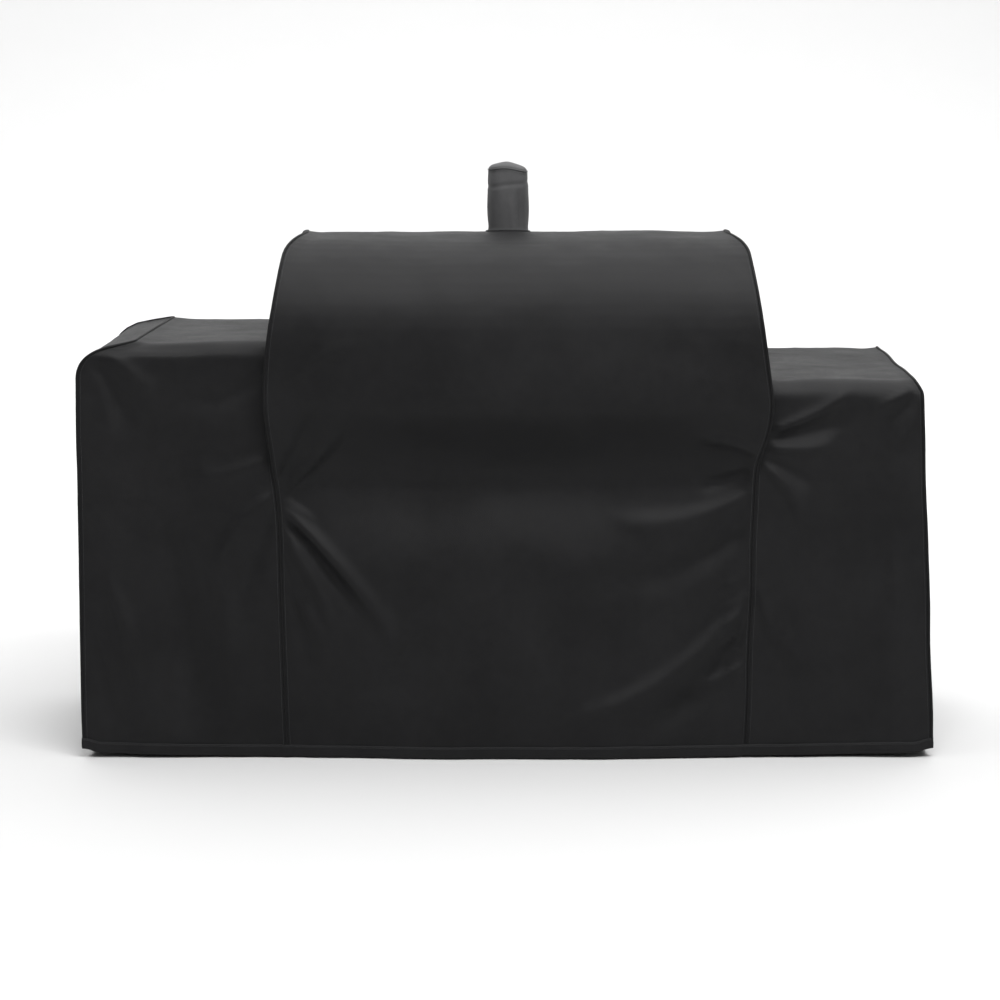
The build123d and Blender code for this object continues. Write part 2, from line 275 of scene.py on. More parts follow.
# Each fold is (start, end, width, height, bend, sharpness), in X and Z. The tables describe the front, and
# the back uses them too, softer.
CENTRE_FOLDS = [
    # slack drawn down from the left pinch
    ((-0.528, 0.600), (-0.250, 0.240), 0.022, 0.0130, 0.020, 2.0),
    ((-0.528, 0.570), (-0.345, 0.330), 0.013, -0.0100, 0.010, 1.4),
    ((-0.524, 0.520), (-0.400, 0.290), 0.015, 0.0085, 0.012, 1.8),
    ((-0.522, 0.420), (-0.430, 0.260), 0.012, 0.0060, 0.006, 1.6),
    ((-0.522, 0.470), (-0.460, 0.200), 0.016, -0.0060, 0.0, 1.0),
    # and up towards the hood
    ((-0.534, 0.625), (-0.385, 0.790), 0.016, 0.0100, -0.014, 1.8),
    ((-0.536, 0.655), (-0.440, 0.850), 0.014, -0.0070, -0.010, 1.0),
    ((-0.500, 0.900), (-0.340, 0.985), 0.020, 0.0050, 0.010, 1.5),
    # swags hung from the right seam
    ((0.568, 0.400), (0.130, 0.085), 0.040, 0.0135, 0.050, 2.0),
    ((0.566, 0.330), (0.300, 0.050), 0.030, -0.0110, 0.030, 1.2),
    ((0.572, 0.560), (0.200, 0.420), 0.044, -0.0115, 0.040, 1.6),
    ((0.574, 0.640), (0.240, 0.560), 0.034, 0.0100, 0.030, 1.8),
    ((0.566, 0.235), (0.420, 0.165), 0.016, 0.0070, 0.006, 2.0),
    ((0.580, 0.690), (0.430, 0.640), 0.014, -0.0080, 0.010, 1.4),
    ((0.590, 0.720), (0.430, 0.760), 0.016, 0.0080, -0.008, 1.6),
    # short puckers along the right seam
    ((0.566, 0.445), (0.500, 0.405), 0.0060, 0.0048, 0.0, 1.8),
    ((0.566, 0.402), (0.490, 0.352), 0.0065, 0.0052, 0.0, 1.8),
    ((0.565, 0.358), (0.498, 0.316), 0.0060, 0.0046, 0.0, 1.6),
    ((0.565, 0.316), (0.488, 0.262), 0.0065, 0.0052, 0.0, 1.8),
    ((0.564, 0.272), (0.500, 0.228), 0.0060, 0.0044, 0.0, 1.6),
    ((-0.531, 0.622), (-0.450, 0.560), 0.0070, 0.0056, 0.0, 1.8),
    ((-0.530, 0.592), (-0.462, 0.518), 0.0065, 0.0050, 0.0, 1.6),
    ((-0.529, 0.556), (-0.472, 0.474), 0.0065, 0.0046, 0.0, 1.6),
    # a long slack fold low on the left, and one up the middle
    ((-0.180, 0.330), (-0.420, 0.030), 0.050, -0.0080, 0.0, 1.0),
    ((0.020, 0.420), (-0.090, 0.020), 0.070, 0.0070, 0.020, 1.2),
]
LEFT_FOLDS = [
    ((-0.535, 0.640), (-0.700, 0.420), 0.024, 0.0090, -0.020, 1.6),
    ((-0.535, 0.600), (-0.640, 0.300), 0.022, -0.0080, -0.010, 1.0),
    ((-0.545, 0.720), (-0.740, 0.660), 0.028, 0.0060, 0.012, 1.5),
    ((-0.560, 0.900), (-0.760, 0.830), 0.030, -0.0060, 0.010, 1.0),
    ((-0.930, 0.420), (-0.845, 0.010), 0.030, 0.0110, 0.012, 1.8),
    ((-0.985, 0.330), (-0.905, 0.010), 0.026, -0.0080, 0.0, 1.0),
    ((-0.800, 0.560), (-0.730, 0.020), 0.050, -0.0110, 0.010, 1.2),
    ((-0.660, 0.400), (-0.640, 0.010), 0.040, 0.0080, 0.0, 1.4),
    ((-0.955, 0.930), (-0.880, 0.760), 0.022, -0.0070, 0.010, 1.3),
    ((-0.930, 0.955), (-0.820, 0.840), 0.022, 0.0060, 0.010, 1.5),
]
RIGHT_FOLDS = [
    # drawn up from the right pinch to the top edge of the bay
    ((0.606, 0.775), (0.800, 0.868), 0.015, 0.0105, -0.010, 2.0),
    ((0.604, 0.755), (0.800, 0.815), 0.018, -0.0090, -0.010, 1.0),
    ((0.600, 0.740), (0.770, 0.745), 0.018, 0.0090, -0.012, 1.8),
    ((0.594, 0.715), (0.720, 0.640), 0.016, -0.0070, 0.0, 1.0),
    ((0.590, 0.700), (0.700, 0.540), 0.018, 0.0080, 0.010, 1.8),
    # short tucks under the end corner
    ((0.938, 0.880), (0.850, 0.828), 0.010, 0.0065, 0.0, 1.8),
    ((0.945, 0.862), (0.880, 0.790), 0.010, -0.0060, 0.0, 1.2),
    ((0.950, 0.835), (0.905, 0.740), 0.011, 0.0060, 0.0, 1.6),
    # slack lower down
    ((0.572, 0.420), (0.740, 0.180), 0.030, 0.0080, -0.020, 1.6),
    ((0.760, 0.620), (0.800, 0.020), 0.060, -0.0090, 0.0, 1.1),
    ((0.900, 0.520), (0.895, 0.010), 0.040, 0.0090, 0.006, 1.5),
    ((0.655, 0.380), (0.660, 0.010), 0.035, -0.0060, 0.0, 1.0),
]


FOLDS = {"centre": CENTRE_FOLDS, "left": LEFT_FOLDS, "right": RIGHT_FOLDS}


def fold_sum(name, x, z):
    """Folds of a strip. The ends and the gussets have none."""
    return sum(fold(x, z, *one) for one in FOLDS.get(name, []))


def front_slack(name, x, z):
    """How far the front of a panel hangs out from its cut shape."""
    folds = FRONT_STRENGTH.get(name, 0) * fold_sum(name, x, z)
    if name == "left":
        return folds - 0.006 * np.exp(-(((x + 0.76) / 0.10) ** 2)) * smooth(z, 0.1, 0.5)
    if name != "centre":
        return folds
    middle = np.clip((x - CENTRE_X) / CENTRE_HALF, -1, 1)
    open_middle = 1 - middle**2
    tuck_line = TUCK_Z + 0.040 * middle**2
    under_hood = 1 - smooth(z, tuck_line, tuck_line + 0.190)
    over_brow = smooth(z, tuck_line - 0.230, tuck_line + 0.010)
    dent = -TUCK_DEPTH * open_middle**0.5 * under_hood * over_brow
    brow = 0.006 * open_middle * np.exp(-(((z - 0.480) / 0.100) ** 2))
    belly = 0.012 * open_middle * np.exp(-(((z - 0.860) / 0.100) ** 2))
    skirt = 0.020 * open_middle * (1 - smooth(z, 0.0, 0.50))
    return dent + brow + belly + skirt + folds


def back_slack(name, x, z):
    """Folds of the back: softer than the front's, and on the centre strip the other way round."""
    return BACK_STRENGTH * fold_sum(name, 2 * CENTRE_X - x if name == "centre" else x, z)


def calm(p):
    """1 where the cloth hangs free, falling to 0 where a vent, a handle or a strap is sewn to it."""
    x, y, z = p[..., 0], p[..., 1], p[..., 2]

    def outside(u, half_u, v, half_v):
        return smooth(np.maximum(np.abs(u) - half_u, np.abs(v) - half_v), 0.0, 0.050)

    vents = outside(np.abs(x) - VENT_X, 0.165, z - VENT_Z - 0.006, 0.072)
    handles = outside(y - MIDDLE_Y, 0.128, z - HANDLE_Z + 0.030, 0.088)
    straps = outside(y - MIDDLE_Y - 0.026, 0.154, z - STRAP_Z, 0.026)
    return np.where(y > BACK_FROM_Y, vents, 1) * np.where(np.abs(x) > END_FROM_X, handles * straps, 1)


def hanging_folds(p, along, seed):
    """Upright folds of a plain hanging side, deeper towards the hem. along is 0 for X or 1 for Y."""
    size = np.array([0.55, 0.55, 2.2])
    size[along] = 0.12
    drop = 1 - smooth(p[..., 2], 0.05, 0.85)
    broad = noise(p, size, seed)
    size[along] = 0.060
    fine = crease(p, size, seed + 1) - 0.4
    return drop * (0.0125 * broad + 0.0060 * fine)


def slack(name, p, n):
    """Distance each point of a panel stands out from its cut shape, along its normal."""
    x, z = p[..., 0], p[..., 2]
    to_front = smooth(-n[..., 1], 0.25, 0.80)
    to_back = smooth(n[..., 1], 0.25, 0.80)
    to_end = smooth(np.abs(n[..., 0]), 0.35, 0.85)
    upward = smooth(n[..., 2], 0.35, 0.85)
    out = to_front * front_slack(name, x, z)
    out = out + to_back * (hanging_folds(p, 0, 31) + back_slack(name, x, z) - 0.004)
    out = out + to_end * hanging_folds(p, 1, 47)
    out = out + upward * (0.0035 * noise(p, 0.21, 5) - 0.003)
    rumple = 0.0026 * noise(p, 0.17, 11) + 0.0016 * noise(p, (0.07, 0.07, 0.11), 12)
    fine = 0.0012 * (crease(p, (0.050, 0.050, 0.085), 13) - 0.4)
    return calm(p) * (out + rumple + fine)


def seam_shift(p):
    """Small wander of the seam lines: the same for every panel that meets at a point."""
    return 0.0022 * calm(p)[..., None] * np.stack([noise(p, 0.13, seed) for seed in (61, 62, 63)], axis=-1)


def hem_lift(p):
    """The hem rides up a little towards the two ends and at the corners."""
    to_end = np.clip(np.abs(p[..., 0]), 0, 1) ** 3 * HEM_SIDE_LIFT
    from_front = np.abs(p[..., 1] - MIDDLE_Y) / 0.305
    corner = HEM_CORNER_LIFT * smooth(np.abs(p[..., 0]), 0.955, 1.0) * smooth(from_front, 0.86, 1.0)
    low = 1 - smooth(p[..., 2], 0.0, 0.16)
    return (to_end + corner + 0.0015 * (1 + noise(p, 0.3, 71))) * low


# ---------------------------------------------------------------- grids
def grid_normals(p):
    return unit(np.cross(np.gradient(p, axis=0), np.gradient(p, axis=1)))


def edge_fractions(width, cell):
    """Column places from 0 to 1, finer beside the two seams."""
    margin = NEAR_SEAM[-1]
    inner = np.linspace(margin, width - margin, max(3, int((width - 2 * margin) / cell) + 1))
    left = [0.0, *NEAR_SEAM[:-1]]
    return np.array([*left, *inner, *(width - np.array(left[::-1]))]) / width


def run_along(p, axis):
    """Distance along each line of a grid, from its first row (axis 0) or its first column (axis 1)."""
    run = np.cumsum(np.linalg.norm(np.diff(p, axis=axis), axis=-1), axis=axis)
    return np.concatenate([np.zeros_like(run.take([0], axis=axis)), run], axis=axis)


def settled(name, p, outward, seams):
    """The panel as it hangs, and each point's distance from its first column and from its first row. seams
    says which of the four grid edges are sewn: (first column, last column, first row, last row)."""
    n = grid_normals(p) * outward
    rows, cols = run_along(p, 0), run_along(p, 1)
    reach = [cols, cols[:, -1:] - cols, rows, rows[-1:] - rows]
    along = [line + 0 * cols for line in (rows[:, :1], rows[:, -1:], cols[:1], cols[-1:])]
    away = np.full(p.shape[:2], 1.0)
    ripple = np.zeros(p.shape[:2])
    for sewn, off, run in zip(seams, reach, along):
        if not sewn:
            continue
        away = np.minimum(away, off)
        beat = np.sin(2 * math.pi * run / PUCKER_PITCH + 2.5 * noise(p, 0.06, 21))
        strength = 0.5 + 0.5 * noise(p, 0.10, 22)
        ripple = ripple + PUCKER_DEPTH * beat * strength * np.exp(-off / 0.016) * smooth(off, 0.0, 0.006)
    free = smooth(away, 0.0, SEAM_REACH)
    moved = p + seam_shift(p) + n * (free * slack(name, p, n) + ripple)[..., None]
    moved[..., 2] += hem_lift(p)
    return moved, cols, rows


def new_object(name, vertices, faces, material, uvs=None):
    """Mesh object with smooth shading. uvs has one pair for each vertex."""
    mesh = bpy.data.meshes.new(name)
    mesh.from_pydata([tuple(v) for v in vertices], [], [tuple(int(i) for i in f) for f in faces])
    mesh.materials.append(material)
    if uvs is not None:
        layer = mesh.uv_layers.new(name="UVMap")
        loops = np.zeros(len(mesh.loops), np.int32)
        mesh.loops.foreach_get("vertex_index", loops)
        layer.data.foreach_set("uv", np.asarray(uvs, np.float32)[loops].ravel())
    mesh.polygons.foreach_set("use_smooth", [True] * len(mesh.polygons))
    mesh.update()
    obj = bpy.data.objects.new(name, mesh)
    bpy.context.scene.collection.objects.link(obj)
    return obj


def place(obj, body, replaces):
    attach(obj, body)
    if replaces:
        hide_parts(*replaces)
    return obj


def grid_faces(rows, cols, wrap=False, flip=False):
    index = np.arange(rows * cols).reshape(rows, cols)
    if wrap:
        index = np.concatenate([index, index[:, :1]], axis=1)
    quads = np.stack([index[:-1, :-1], index[1:, :-1], index[1:, 1:], index[:-1, 1:]], axis=-1).reshape(-1, 4)
    return quads[:, ::-1] if flip else quads


def thicken(obj, thickness=CLOTH):
    """Gives a cloth surface its thickness, on its inner side."""
    modifier = obj.modifiers.new("thickness", "SOLIDIFY")
    modifier.thickness = thickness
    modifier.offset = -1
    with bpy.context.temp_override(object=obj, active_object=obj, selected_objects=[obj]):
        bpy.ops.object.modifier_apply(modifier=modifier.name)


def cloth_panel(name, shape, cols, rows, outward, holes):
    """Mesh of a settled grid. holes are tests that say which points are cut away."""
    faces = grid_faces(*shape.shape[:2], flip=outward < 0)
    flat = shape.reshape(-1, 3)
    for inside in holes:
        centres = flat[faces].mean(axis=1)
        faces = faces[~inside(centres)]
    used = np.unique(faces)
    renumber = np.full(len(flat), -1)
    renumber[used] = np.arange(len(used))
    uvs = np.stack([cols.ravel(), rows.ravel()], axis=1)[used]
    obj = new_object(name, flat[used], renumber[faces], CANVAS, uvs)
    thicken(obj)
    return obj


# ---------------------------------------------------------------- materials
class Nodes:
    """Short way to build a node material."""

    def __init__(self, name):
        self.material = bpy.data.materials.new(name)
        self.material.use_nodes = True
        self.tree = self.material.node_tree
        self.shader = self.tree.nodes["Principled BSDF"]
        self.coordinates = self.new("ShaderNodeTexCoord").outputs["Object"]

    def new(self, kind, inputs=None, **settings):
        node = self.tree.nodes.new(kind)
        for key, value in settings.items():
            setattr(node, key, value)
        for key, value in (inputs or {}).items():
            if isinstance(value, bpy.types.NodeSocket):
                self.tree.links.new(value, node.inputs[key])
            else:
                node.inputs[key].default_value = value
        return node

    def math(self, operation, *values):
        return self.new("ShaderNodeMath", dict(enumerate(values)), operation=operation).outputs[0]

    def link(self, socket, name):
        self.tree.links.new(socket, self.shader.inputs[name])

    def set(self, **values):
        for key, value in values.items():
            self.shader.inputs[key.replace("_", " ")].default_value = value

    def add(self, first, second):
        return self.math("ADD", first, second)

    def times(self, first, second):
        return self.math("MULTIPLY", first, second)

    def noise(self, scale, detail=3.0, rough=0.55):
        inputs = {"Vector": self.coordinates, "Scale": scale, "Detail": detail, "Roughness": rough}
        return self.new("ShaderNodeTexNoise", inputs).outputs["Fac"]

    def cloth_directions(self):
        """Sockets for the distances across and along the cloth."""
        uv = self.new("ShaderNodeUVMap").outputs["UV"]
        split = self.new("ShaderNodeSeparateXYZ", {"Vector": uv})
        return split.outputs["X"], split.outputs["Y"]

    def wave(self, value, rate):
        return self.math("SINE", self.times(value, rate))

    def ramp(self, value, low, high, out_low, out_high):
        inputs = {"Value": value, "From Min": low, "From Max": high, "To Min": out_low, "To Max": out_high}
        return self.new("ShaderNodeMapRange", inputs, clamp=True).outputs["Result"]

    def mix(self, factor, first, second):
        node = self.new("ShaderNodeMix", data_type="RGBA")
        self.tree.links.new(factor, node.inputs["Factor"])
        node.inputs["A"].default_value = (*first, 1)
        node.inputs["B"].default_value = (*second, 1)
        return node.outputs["Result"]

    def bumps(self, *layers):
        """Bump layers, each (height socket, distance in metres, strength)."""
        normal = None
        for height, distance, strength in layers:
            inputs = {"Height": height, "Distance": distance, "Strength": strength}
            if normal is not None:
                inputs["Normal"] = normal
            normal = self.new("ShaderNodeBump", inputs).outputs["Normal"]
        self.link(normal, "Normal")


def grey(level, blue=0.0):
    """A nearly neutral colour, with a little more blue."""
    return (level, level, level + blue)


def coated_cloth(name, dark, light, weave=0.0011, gloss=(0.40, 0.56)):
    """Black polyester canvas with a thin water-repellent coating, in a plain weave of the given pitch."""
    nodes = Nodes(name)
    across_cloth, along_cloth = nodes.cloth_directions()
    rate = 2 * math.pi / weave
    weft = nodes.times(nodes.wave(across_cloth, rate), nodes.wave(along_cloth, rate))
    patches = nodes.noise(5.0, 4.0)
    dust = nodes.noise(42.0, 5.0, 0.7)
    lint = nodes.noise(900.0, 2.0)
    blend = nodes.add(nodes.times(patches, 0.6), nodes.times(dust, 0.4))
    threads = nodes.add(nodes.ramp(blend, 0.38, 0.66, 0.0, 0.75), nodes.times(weft, 0.12))
    nodes.link(nodes.mix(threads, dark, light), "Base Color")
    nodes.link(nodes.ramp(blend, 0.35, 0.68, *gloss), "Roughness")
    nodes.set(Specular_IOR_Level=0.16, Sheen_Weight=0.02, Sheen_Roughness=0.45)
    nodes.bumps((weft, 0.00016, 0.45), (lint, 0.0001, 0.25), (dust, 0.0006, 0.25))
    return nodes.material


def webbing_material(name, dark, light):
    """Flat polypropylene webbing: chevrons of thread in rows along its length."""
    nodes = Nodes(name)
    across_band, along_band = nodes.cloth_directions()
    zigzag = nodes.math("PINGPONG", along_band, 0.0042)
    rows = nodes.wave(nodes.add(across_band, zigzag), 3500.0)
    ribs = nodes.math("ABSOLUTE", nodes.wave(along_band, 750.0))
    height = nodes.add(nodes.times(rows, 0.5), ribs)
    wear = nodes.noise(60.0, 4.0)
    tint = nodes.add(nodes.ramp(wear, 0.4, 0.7, 0.0, 0.7), nodes.times(height, 0.15))
    nodes.link(nodes.mix(tint, dark, light), "Base Color")
    nodes.link(nodes.ramp(wear, 0.3, 0.7, 0.45, 0.62), "Roughness")
    nodes.set(Specular_IOR_Level=0.35, Sheen_Weight=0.15, Sheen_Roughness=0.4)
    nodes.bumps((height, 0.0003, 0.7))
    return nodes.material


def thread_material():
    nodes = Nodes("sewing thread")
    twist = nodes.noise(1500.0, 2.0)
    nodes.link(nodes.mix(twist, grey(0.010, 0.0010), grey(0.035, 0.0020)), "Base Color")
    nodes.set(Roughness=0.42, Specular_IOR_Level=0.4, Sheen_Weight=0.2, Sheen_Roughness=0.3)
    nodes.bumps((twist, 0.0002, 0.4))
    return nodes.material


def plastic_material():
    """Moulded acetal: a fine spark-eroded grain, a little shinier where it rubs."""
    nodes = Nodes("moulded plastic")
    grain = nodes.noise(2200.0)
    rub = nodes.noise(70.0)
    nodes.link(nodes.mix(rub, grey(0.010), grey(0.024)), "Base Color")
    nodes.link(nodes.ramp(rub, 0.35, 0.7, 0.50, 0.30), "Roughness")
    nodes.set(Specular_IOR_Level=0.5)
    nodes.bumps((grain, 0.00008, 0.5))
    return nodes.material


def tape_material(name, scale, depth):
    """Hook or loop tape: a dense field of small hooks or brushed loops."""
    nodes = Nodes(name)
    inputs = {"Vector": nodes.coordinates, "Scale": scale}
    cells = nodes.new("ShaderNodeTexVoronoi", inputs, feature="F1").outputs["Distance"]
    nodes.link(nodes.mix(cells, grey(0.026, 0.0010), grey(0.006)), "Base Color")
    nodes.set(Roughness=0.7, Specular_IOR_Level=0.25, Sheen_Weight=0.4, Sheen_Roughness=0.5)
    nodes.bumps((cells, depth, 0.8))
    return nodes.material


def floor_material():
    nodes = Nodes("floor")
    nodes.link(nodes.mix(nodes.noise(3.0, 4.0), grey(0.60), grey(0.612)), "Base Color")
    nodes.set(Roughness=0.8, Specular_IOR_Level=0.15)
    return nodes.material


CANVAS = coated_cloth("coated canvas", grey(0.0062, 0.0005), grey(0.0116, 0.0007))
# painted light: the sleeve canvas is coloured about ten times lighter than the main canvas, standing in for
# the light that the chimney's round side catches
PAINTED_LIGHT_SLEEVE_CANVAS = coated_cloth("sleeve canvas with painted light", grey(0.0620, 0.0015), grey(0.0900, 0.0020))
HEM_CANVAS = coated_cloth("doubled canvas", grey(0.0075, 0.0007), grey(0.0140, 0.0006), gloss=(0.44, 0.60))
BINDING = coated_cloth("binding tape", grey(0.0040, 0.0004), grey(0.0080, 0.0004), 0.0007, (0.52, 0.66))
PATCH_CANVAS = coated_cloth("patch canvas", grey(0.0080, 0.0006), grey(0.0140, 0.0006), 0.0009)
WEBBING = webbing_material("webbing", grey(0.0065, 0.0005), grey(0.0150, 0.0006))
MESH_THREAD = coated_cloth("mesh thread", grey(0.0080, 0.0006), grey(0.0180, 0.0006), 0.0006, (0.40, 0.55))
THREAD = thread_material()
PLASTIC = plastic_material()
HOOKS = tape_material("hook tape", 900.0, 0.0009)
LOOPS = tape_material("loop tape", 1500.0, 0.0006)


# ---------------------------------------------------------------- the cloth panels
def strip_grid(side_view, left_outline, right_outline):
    """Rows from the front hem over the top to the back hem, closer together in front."""
    fine_step = 0.0005
    fine = resampled(side_view[side_view[:, 1] >= PANEL_FOOT], fine_step)
    ticks = np.floor(np.cumsum(fine_step / np.where(fine[:, 0] > BACK_ROWS_Y, BACK_ROWS, FRONT_ROWS)))
    rows = fine[np.unique(np.concatenate([[0], np.nonzero(np.diff(ticks))[0] + 1, [len(fine) - 1]]))]
    low = across(left_outline, rows[:, 1])
    high = across(right_outline, rows[:, 1])
    f = edge_fractions(float(np.mean(high - low)), PANEL_CELL)
    p = np.empty((len(rows), len(f), 3))
    p[..., 0] = low[:, None] + (high - low)[:, None] * f
    p[..., 1] = rows[:, :1]
    p[..., 2] = rows[:, 1:]
    return p


def chimney_hole(p):
    near = np.hypot(p[..., 0], p[..., 1] - CHIMNEY_Y) < CHIMNEY_RADIUS - 0.001
    return near & (p[..., 2] > 1.0)


def vent_hole(sign):
    def inside(p):
        return (
            (np.abs(p[..., 0] - sign * VENT_X) < VENT_WIDTH / 2)
            & (np.abs(p[..., 2] - VENT_Z) < VENT_HEIGHT / 2)
            & (p[..., 1] > BACK_FROM_Y)
        )

    return inside


STRIPS = {
    "centre": (HOOD_SIDE, HOOD_OUTLINE["left"], HOOD_OUTLINE["right"]),
    "left": (SHELF_SIDE["left"], END_OUTLINE["left"], HOOD_OUTLINE["left"]),
    "right": (SHELF_SIDE["right"], HOOD_OUTLINE["right"], END_OUTLINE["right"]),
}
panels = {
    key: settled(key, strip_grid(*outlines), -1, (True, True, False, False))
    for key, outlines in STRIPS.items()
}


def end_grid(side):
    """Rows up an end and round its top corner, columns from front to back."""
    step = 0.002
    outline = resampled(END_OUTLINE[side], step)
    outline = outline[outline[:, 1] >= PANEL_FOOT]
    run = np.arange(len(outline)) * step
    front_top, back_top = SHELF_TOP[side]
    view = SHELF_SIDE[side]
    front = view[view[:, 0] < front_y(front_top) + SHELF_RADIUS - 0.003]
    back = view[view[:, 0] > back_y(back_top) - SHELF_RADIUS + 0.003][::-1]
    f = edge_fractions(END_WIDTH, END_CELL)
    g = np.linspace(0, 1, END_ROWS)
    top_run = np.interp(front_top + (back_top - front_top) * f, outline[:, 1], run)
    at = g[:, None] * top_run[None, :]
    p = np.empty((len(g), len(f), 3))
    p[..., 0] = np.interp(at, run, outline[:, 0])
    p[..., 2] = np.interp(at, run, outline[:, 1])
    near = np.interp(p[..., 2], front[:, 1], front[:, 0])
    far = np.interp(p[..., 2], back[:, 1], back[:, 0])
    p[..., 1] = near + (far - near) * f
    return p


def gusset_grid(side):
    """From the seam on the bay below up to the hood's seam."""
    back_top = SHELF_TOP[side][1]
    start, stop = GUSSET_FOOT, back_top - SHELF_RADIUS - 0.002

    def between(view):
        """The part of a side view from the front start over the top to the back stop."""
        top = int(np.argmax(view[:, 1]))
        keep = np.arange(len(view))
        part = view[((keep <= top) & (view[:, 1] >= start)) | ((keep > top) & (view[:, 1] >= stop))]
        part = resampled(part, 0.001)
        return part[np.linspace(0, len(part) - 1, GUSSET_COLUMNS).astype(int)]

    low, high = between(SHELF_SIDE[side]), between(HOOD_SIDE)
    f = edge_fractions(GUSSET_HEIGHT, GUSSET_CELL)[:, None, None]
    yz = low[None] + (high - low)[None] * f
    return np.stack([across(HOOD_OUTLINE[side], yz[..., 1]), yz[..., 0], yz[..., 1]], axis=-1)


for side, sign in SIDES.items():
    panels[f"{side}_end"] = settled(f"{side}_end", end_grid(side), -sign, (True, True, False, True))
    panels[f"{side}_gusset"] = settled(f"{side}_gusset", gusset_grid(side), -sign, (False, False, True, True))

# each panel's node, the outward side of its grid, flat cut size, cut area, and the piped seams it hangs from
PANELS = {
    "centre": ("centre_panel", -1, (1.20, 2.92), 3.20, ["hood_piping_left", "hood_piping_right"]),
    "left": ("left_panel", -1, (0.50, 2.56), 1.07, ["hood_piping_left", "end_piping_left"]),
    "right": ("right_panel", -1, (0.46, 2.34), 0.90, ["hood_piping_right", "end_piping_right"]),
    "left_end": ("left_end_panel", 1, (0.63, 1.06), 0.61, ["end_piping_left"]),
    "right_end": ("right_end_panel", -1, (0.63, 0.94), 0.53, ["end_piping_right"]),
    "left_gusset": ("hood_gusset_left", 1, (0.64, 0.40), 0.155, ["hood_piping_left", "gusset_piping_left"]),
    "right_gusset": (
        "hood_gusset_right", -1, (0.64, 0.50), 0.205, ["hood_piping_right", "gusset_piping_right"],
    ),
}
HOLES = {"centre": [chimney_hole, vent_hole(-1), vent_hole(1)]}
for key, (node, outward, flat, area, seams) in PANELS.items():
    shape, cols, rows = panels[key]
    obj = cloth_panel(f"cloth_{key}", shape, cols, rows, outward, HOLES.get(key, []))
    place(obj, "cover", [node])


def panel_normals(key):
    return grid_normals(panels[key][0]) * PANELS[key][1]


# ---------------------------------------------------------------- sewn trims
class Wall:
    """Frame lying on the cover's outside: a is level, b runs up the cloth and n points outwards."""

    def __init__(self, x, y, z, outward):
        self.origin = np.array((x, y, z), float)
        self.n = np.array(outward, float) / np.linalg.norm(outward)
        self.a = np.cross((0, 0, 1), self.n)
        self.a = self.a / np.linalg.norm(self.a)
        self.b = np.cross(self.n, self.a)

    def at(self, a, b, n):
        a, b, n = np.broadcast_arrays(a, b, n)
        return self.origin + a[..., None] * self.a + b[..., None] * self.b + n[..., None] * self.n


class Pile:
    """Collects pieces of mesh that become one object."""

    def __init__(self):
        self.vertices = []
        self.faces = []
        self.uvs = []
        self.count = 0

    def add(self, vertices, faces, uvs):
        self.vertices.append(np.asarray(vertices, float).reshape(-1, 3))
        self.faces.extend((np.asarray(f) + self.count).tolist() for f in faces)
        self.uvs.append(np.asarray(uvs, float).reshape(-1, 2))
        self.count += len(self.vertices[-1])
        return self

    def grid(self, p, uv, wrap=False, flip=False):
        return self.add(p, grid_faces(*p.shape[:2], wrap=wrap, flip=flip), uv)

    def build(self, name, material):
        return new_object(name, np.concatenate(self.vertices), self.faces, material, np.concatenate(self.uvs))

    def place(self, name, material, slot, node=None, body="cover"):
        """One object of everything collected, on its body. node is the CAD node that it replaces, if any."""
        return place(self.build(name, material), body, [node] if node else ())


def directions(path, closed=False):
    if closed:
        steps = np.roll(path, -1, axis=0) - np.roll(path, 1, axis=0)
    else:
        steps = np.gradient(path, axis=0)
    return unit(steps)


def swept(pile, path, facing, section, closed=False):
    """Sweeps a closed cross-section along a path. section has (across, out) pairs, the same for the whole
    path or one list for each of its points, and facing is the direction that out points in."""
    path = np.asarray(path, float)
    facing = np.broadcast_to(facing, path.shape)
    ahead = directions(path, closed)
    side = unit(np.cross(facing, ahead))
    out = np.cross(ahead, side)
    section = np.asarray(section, float)
    if section.ndim == 2:
        section = np.broadcast_to(section, (len(path), *section.shape))
    p = path[:, None] + section[..., :1] * side[:, None] + section[..., 1:] * out[:, None]
    along = np.broadcast_to(lengths(path)[:, None], p.shape[:2])
    uv = np.stack([section[..., 0], along], axis=-1)
    if closed:
        p = np.concatenate([p, p[:1]])
        uv = np.concatenate([uv, uv[:1]])
    faces = grid_faces(*p.shape[:2], wrap=True, flip=True).tolist()
    if not closed:
        ring = np.arange(p.shape[1])
        faces.append(ring.tolist())
        faces.append((ring[::-1] + (p.shape[0] - 1) * p.shape[1]).tolist())
    return pile.add(p, faces, uv)


def flat_section(width, thickness, count=20, square=0.40):
    """Cross-section of a flat band with rounded edges, round its middle."""
    t = np.arange(count) * 2 * math.pi / count
    across_band = width / 2 * np.sign(np.cos(t)) * np.abs(np.cos(t)) ** square
    out = thickness / 2 * np.sign(np.sin(t)) * np.abs(np.sin(t)) ** 0.6
    return np.stack([across_band, out], axis=1)


def tube(pile, path, facing, radius, sides, closed=False):
    return swept(pile, path, facing, flat_section(2 * radius, 2 * radius, sides, 1.0), closed)


